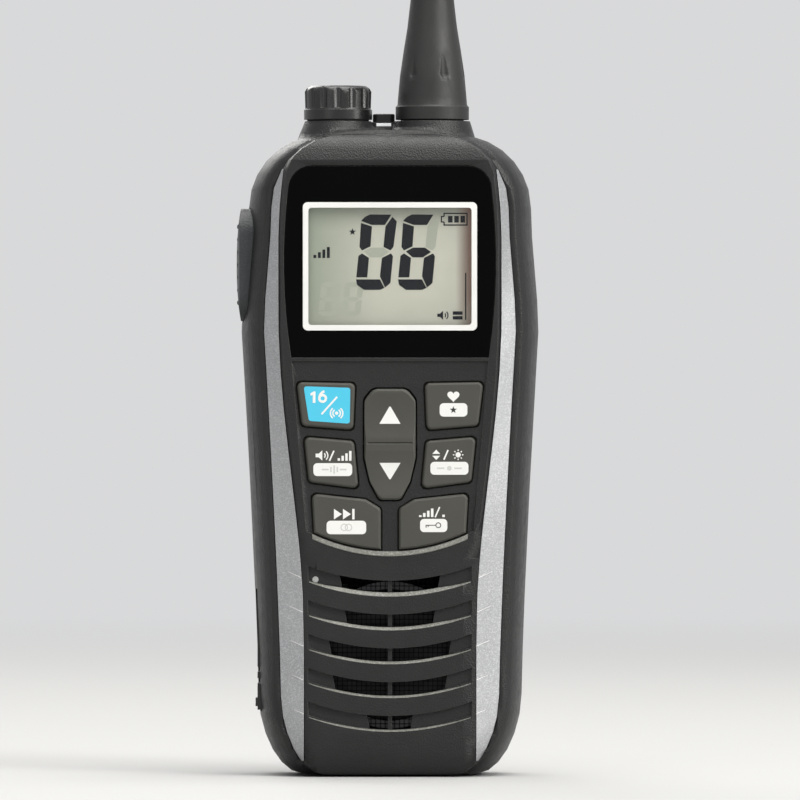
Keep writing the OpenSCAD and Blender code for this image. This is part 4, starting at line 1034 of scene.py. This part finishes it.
def vectorOf(tree, x=0.0, y=0.0, z=0.0):
    return addNode(tree, "ShaderNodeCombineXYZ", {0: x, 1: y, 2: z}).outputs[0]


weaveDetail = {"wireCorners": 5, "step": 0.34}           # the step is a share of the pitch


def makeWeave():
    # a woven cloth: wires both ways, each wave half a pitch out of step with its neighbour
    tree, start, end = startTree("wovenCloth", [
        ("Width", "Float"), ("Height", "Float"), ("Pitch", "Float"), ("Wire", "Float"), ("Wave", "Float"),
        ("Centre", "Vector"), ("Material", "Material")])
    pitch = start.outputs["Pitch"]
    parts = []
    for along, across, length, spread, side in (("z", "x", "Height", "Width", 1.0),
                                                ("x", "z", "Width", "Height", -1.0)):
        half = calc(tree, "MULTIPLY", start.outputs[length], 0.5)
        low = calc(tree, "MULTIPLY", half, -1.0)
        count = calc(tree, "FLOOR", calc(tree, "DIVIDE", start.outputs[spread], pitch))
        room = calc(tree, "MULTIPLY", calc(tree, "SUBTRACT", count, 1.0), pitch)
        first = calc(tree, "MULTIPLY", room, -0.5)
        line = addNode(tree, "GeometryNodeCurvePrimitiveLine", {
            "Start": vectorOf(tree, **{along: low}), "End": vectorOf(tree, **{along: half})})
        row = addNode(tree, "GeometryNodeMeshLine", {
            "Count": count, "Start Location": vectorOf(tree, **{across: first}),
            "Offset": vectorOf(tree, **{across: pitch})})
        laid = addNode(tree, "GeometryNodeInstanceOnPoints", {
            "Points": row.outputs[0], "Instance": line.outputs[0]})
        real = addNode(tree, "GeometryNodeRealizeInstances", {0: laid.outputs[0]})
        steps = addNode(tree, "GeometryNodeResampleCurve", {
            "Curve": real.outputs[0], "Length": calc(tree, "MULTIPLY", pitch, weaveDetail["step"])},
            mode="LENGTH")
        position = addNode(tree, "GeometryNodeInputPosition")
        place = addNode(tree, "ShaderNodeSeparateXYZ", {0: position.outputs[0]})
        turn = calc(tree, "DIVIDE", math.pi, pitch)
        waveX, waveZ = (calc(tree, "COSINE", calc(tree, "MULTIPLY", place.outputs[axis], turn))
                        for axis in ("X", "Z"))
        wave = calc(tree, "MULTIPLY", waveX, waveZ)
        lift = calc(tree, "MULTIPLY", calc(tree, "MULTIPLY", wave, start.outputs["Wave"]), side)
        bent = addNode(tree, "GeometryNodeSetPosition", {
            "Geometry": steps.outputs[0], "Offset": vectorOf(tree, y=lift)})
        section = addNode(tree, "GeometryNodeCurvePrimitiveCircle", {
            "Resolution": weaveDetail["wireCorners"], "Radius": start.outputs["Wire"]})
        wire = addNode(tree, "GeometryNodeCurveToMesh", {
            "Curve": bent.outputs[0], "Profile Curve": section.outputs[0], "Fill Caps": True})
        parts.append(wire.outputs[0])
    both = addNode(tree, "GeometryNodeJoinGeometry")
    for part in parts:
        tree.links.new(part, both.inputs[0])
    moved = addNode(tree, "GeometryNodeTransform", {
        "Geometry": both.outputs[0], "Translation": start.outputs["Centre"]})
    return endTree(tree, moved.outputs[0], start.outputs["Material"], end)


clothSettings = {"Width": 24.7 * mm, "Height": 32.9 * mm, "Pitch": 0.9 * mm, "Wire": 0.065 * mm,
                 "Wave": 0.07 * mm, "Centre": (0.0, -13.05 * mm, 22.7 * mm),
                 "Material": finishes["mesh_cloth"]}
treePiece("speakerCloth", makeWeave(), clothSettings, "radio", ["speaker_mesh"])

threadDetail = {"turnSteps": 40, "ridgeCorners": 6, "foot": 0.5}      # the foot is above the roof


def makeThread():
    # a fine ridge that winds up a stud
    tree, start, end = startTree("screwRidge", [
        ("Radius", "Float"), ("Pitch", "Float"), ("Turns", "Float"), ("Ridge", "Float"), ("Foot", "Vector"),
        ("Material", "Material")])
    spiral = addNode(tree, "GeometryNodeCurveSpiral", {
        "Resolution": threadDetail["turnSteps"], "Rotations": start.outputs["Turns"],
        "Start Radius": start.outputs["Radius"], "End Radius": start.outputs["Radius"],
        "Height": calc(tree, "MULTIPLY", start.outputs["Turns"], start.outputs["Pitch"])})
    section = addNode(tree, "GeometryNodeCurvePrimitiveCircle", {
        "Resolution": threadDetail["ridgeCorners"], "Radius": start.outputs["Ridge"]})
    ridge = addNode(tree, "GeometryNodeCurveToMesh", {
        "Curve": spiral.outputs[0], "Profile Curve": section.outputs[0], "Fill Caps": True})
    moved = addNode(tree, "GeometryNodeTransform", {
        "Geometry": ridge.outputs[0], "Translation": start.outputs["Foot"]})
    return endTree(tree, moved.outputs[0], start.outputs["Material"], end)


def footOver(axis):
    return tuple(c * mm for c in (*axis, shared["roof"] + threadDetail["foot"]))


threadTree = makeThread()
studThread = {"Radius": 3.11 * mm, "Pitch": 0.7056 * mm, "Turns": 7.0, "Ridge": 0.14 * mm,
              "Foot": footOver(shared["antennaAxis"]), "Material": finishes["gold_plate"]}
jackThread = {"Radius": 4.43 * mm, "Pitch": 0.75 * mm, "Turns": 3.0, "Ridge": 0.15 * mm,
              "Foot": footOver(shared["jackAxis"]), "Material": finishes["black_steel"]}
treePiece("antennaStudThread", threadTree, studThread, "radio")
treePiece("jackCollarThread", threadTree, jackThread, "radio")

boardPartDetail = {"columns": 9, "rows": 13, "seedShift": 7.0, "least": 0.5, "most": 1.3}


def makeBoardParts():
    # small components stood on a stretch of a board, each on a point of a grid or left out
    s = boardPartDetail
    tree, start, end = startTree("boardParts", [
        ("Width", "Float"), ("Height", "Float"), ("Share", "Float"), ("Size", "Vector"), ("Centre", "Vector"),
        ("Seed", "Int"), ("Material", "Material")])
    area = addNode(tree, "GeometryNodeMeshGrid", {
        "Size X": start.outputs["Width"], "Size Y": start.outputs["Height"], "Vertices X": s["columns"],
        "Vertices Y": s["rows"]})
    pick = addNode(tree, "FunctionNodeRandomValue", {"Seed": start.outputs["Seed"]}, data_type="BOOLEAN")
    for socket in pick.inputs:
        if socket.name == "Probability" and socket.enabled:
            tree.links.new(start.outputs["Share"], socket)
    dots = addNode(tree, "GeometryNodeMeshToPoints", {"Mesh": area.outputs[0], "Selection": pick.outputs[3]})
    part = addNode(tree, "GeometryNodeMeshCube", {"Size": start.outputs["Size"]})
    otherSeed = calc(tree, "ADD", start.outputs["Seed"], s["seedShift"])
    size = addNode(tree, "FunctionNodeRandomValue", {"Seed": otherSeed, 2: s["least"], 3: s["most"]},
                   data_type="FLOAT")
    laid = addNode(tree, "GeometryNodeInstanceOnPoints", {
        "Points": dots.outputs[0], "Instance": part.outputs[0], "Scale": size.outputs[1]})
    stood = addNode(tree, "GeometryNodeTransform", {
        "Geometry": laid.outputs[0], "Translation": start.outputs["Centre"],
        "Rotation": (math.pi / 2, 0.0, 0.0)})
    return endTree(tree, stood.outputs[0], start.outputs["Material"], end)


lowerParts = {"Width": 27.0 * mm, "Height": 20.0 * mm, "Share": 0.45, "Size": (1.5 * mm, 0.8 * mm, 0.7 * mm),
              "Centre": (0.0, -8.0 * mm, 55.0 * mm), "Seed": 4, "Material": finishes["switch_black"]}
treePiece("lowerBoardParts", makeBoardParts(), lowerParts, "radio")
print("node pieces made")


# floor, light and camera

stageSettings = {"floorColor": (0.44, 0.44, 0.44), "otherShade": 0.97, "toneScale": 3.0, "roughness": 0.8,
                 "height": -0.0004, "radius": 14.0, "corners": 96, "fadeFrom": 0.45, "fadeTo": 1.5,
                 "room": (0.985, 0.99, 1.0, 1.0), "seen": 0.70, "light": 0.24}


def seenRays(tree):
    # 1 for what shows to the camera, straight or by way of gloss and glass
    path = addNode(tree, "ShaderNodeLightPath")
    both = calc(tree, "ADD", path.outputs["Is Camera Ray"], path.outputs["Is Glossy Ray"])
    return calc(tree, "MINIMUM", calc(tree, "ADD", both, path.outputs["Is Transmission Ray"]), 1.0)


def makeStage():
    # a round floor that fades into the colour of the room
    s = stageSettings
    angles = [2 * math.pi * k / s["corners"] for k in range(s["corners"])]
    rim = [(s["radius"] * math.cos(a), s["radius"] * math.sin(a), s["height"]) for a in angles]
    mesh = bpy.data.meshes.new("floor")
    mesh.from_pydata(rim, [], [tuple(range(s["corners"]))])
    floor = linkPiece("floor", mesh)
    material, tree, shader, coords = startMaterial("paleFloor")
    other = tuple(c * s["otherShade"] for c in s["floorColor"])
    base = blendColors(tree, noiseOf(tree, coords, s["toneScale"]), s["floorColor"], other)
    tree.links.new(base, shader.inputs["Base Color"])
    shader.inputs["Roughness"].default_value = s["roughness"]
    far = addNode(tree, "ShaderNodeVectorMath", {0: coords}, operation="LENGTH").outputs["Value"]
    fade = mapRange(tree, far, s["fadeFrom"], s["fadeTo"], 0.0, 1.0)
    fade.node.interpolation_type = "SMOOTHSTEP"
    room = addNode(tree, "ShaderNodeEmission", {"Color": s["room"], "Strength": s["seen"]})
    mixed = addNode(tree, "ShaderNodeMixShader", {0: calc(tree, "MULTIPLY", fade, seenRays(tree)),
                                                  1: shader.outputs[0], 2: room.outputs[0]})
    tree.links.new(mixed.outputs[0], tree.nodes["Material Output"].inputs["Surface"])
    mesh.materials.append(material)


def makeRoom():
    s = stageSettings
    world = bpy.data.worlds.new("softRoom")
    bpy.context.scene.world = world
    world.use_nodes = True
    tree = world.node_tree
    background = tree.nodes["Background"]
    background.inputs["Color"].default_value = s["room"]
    strength = mapRange(tree, seenRays(tree), 0.0, 1.0, s["light"], s["seen"])
    tree.links.new(strength, background.inputs["Strength"])


makeStage()
makeRoom()

lampColor = (1.0, 0.99, 0.955)
lamps = {
    "keyLamp": {"at": (1.25, -1.25, 1.05), "aim": (0.0, 0.0, 0.09), "size": (0.6, 0.7), "power": 22.0},
    "browLamp": {"at": (0.1, -0.9, 1.25), "aim": (0.0, 0.0, 0.1), "size": (1.0, 0.3), "power": 6.0},
    "fillLamp": {"at": (-1.0, -1.6, 0.5), "aim": (0.0, 0.0, 0.08), "size": (0.7, 0.9), "power": 2.0},
    "topLamp": {"at": (0.15, 0.0, 1.5), "aim": (0.0, 0.0, 0.1), "size": (1.2, 1.3), "power": 29.0},
    "rightStrip": {"at": (1.1, -0.5, 0.22), "aim": (0.0, 0.0, 0.08), "size": (0.22, 1.0), "power": 5.0},
    "backLamp": {"at": (-0.5, 1.4, 0.9), "aim": (0.0, 0.0, 0.09), "size": (0.8, 0.7), "power": 8.0},
}
for name, lamp in lamps.items():
    light = bpy.data.lights.new(name, "AREA")
    light.shape = "RECTANGLE"
    light.size, light.size_y = lamp["size"]
    light.energy = lamp["power"]
    light.color = lampColor
    holder = bpy.data.objects.new(name, light)
    holder.location = lamp["at"]
    holder.rotation_euler = (Vector(lamp["aim"]) - Vector(lamp["at"])).to_track_quat("-Z", "Y").to_euler()
    holder.visible_camera = False
    bpy.context.scene.collection.objects.link(holder)

cameraSettings = {"at": (1.9 * mm, -2.0, 71.0 * mm), "lens": 471.9, "sensor": 36.0}
cameraData = bpy.data.cameras.new("camera")
cameraData.lens = cameraSettings["lens"]
cameraData.sensor_width = cameraSettings["sensor"]
camera = bpy.data.objects.new("camera", cameraData)
camera.location = cameraSettings["at"]
camera.rotation_euler = (math.pi / 2, 0.0, 0.0)
bpy.context.scene.collection.objects.link(camera)
bpy.context.scene.camera = camera
bpy.context.scene.view_settings.view_transform = "Standard"
print("stage, lamps and camera set")
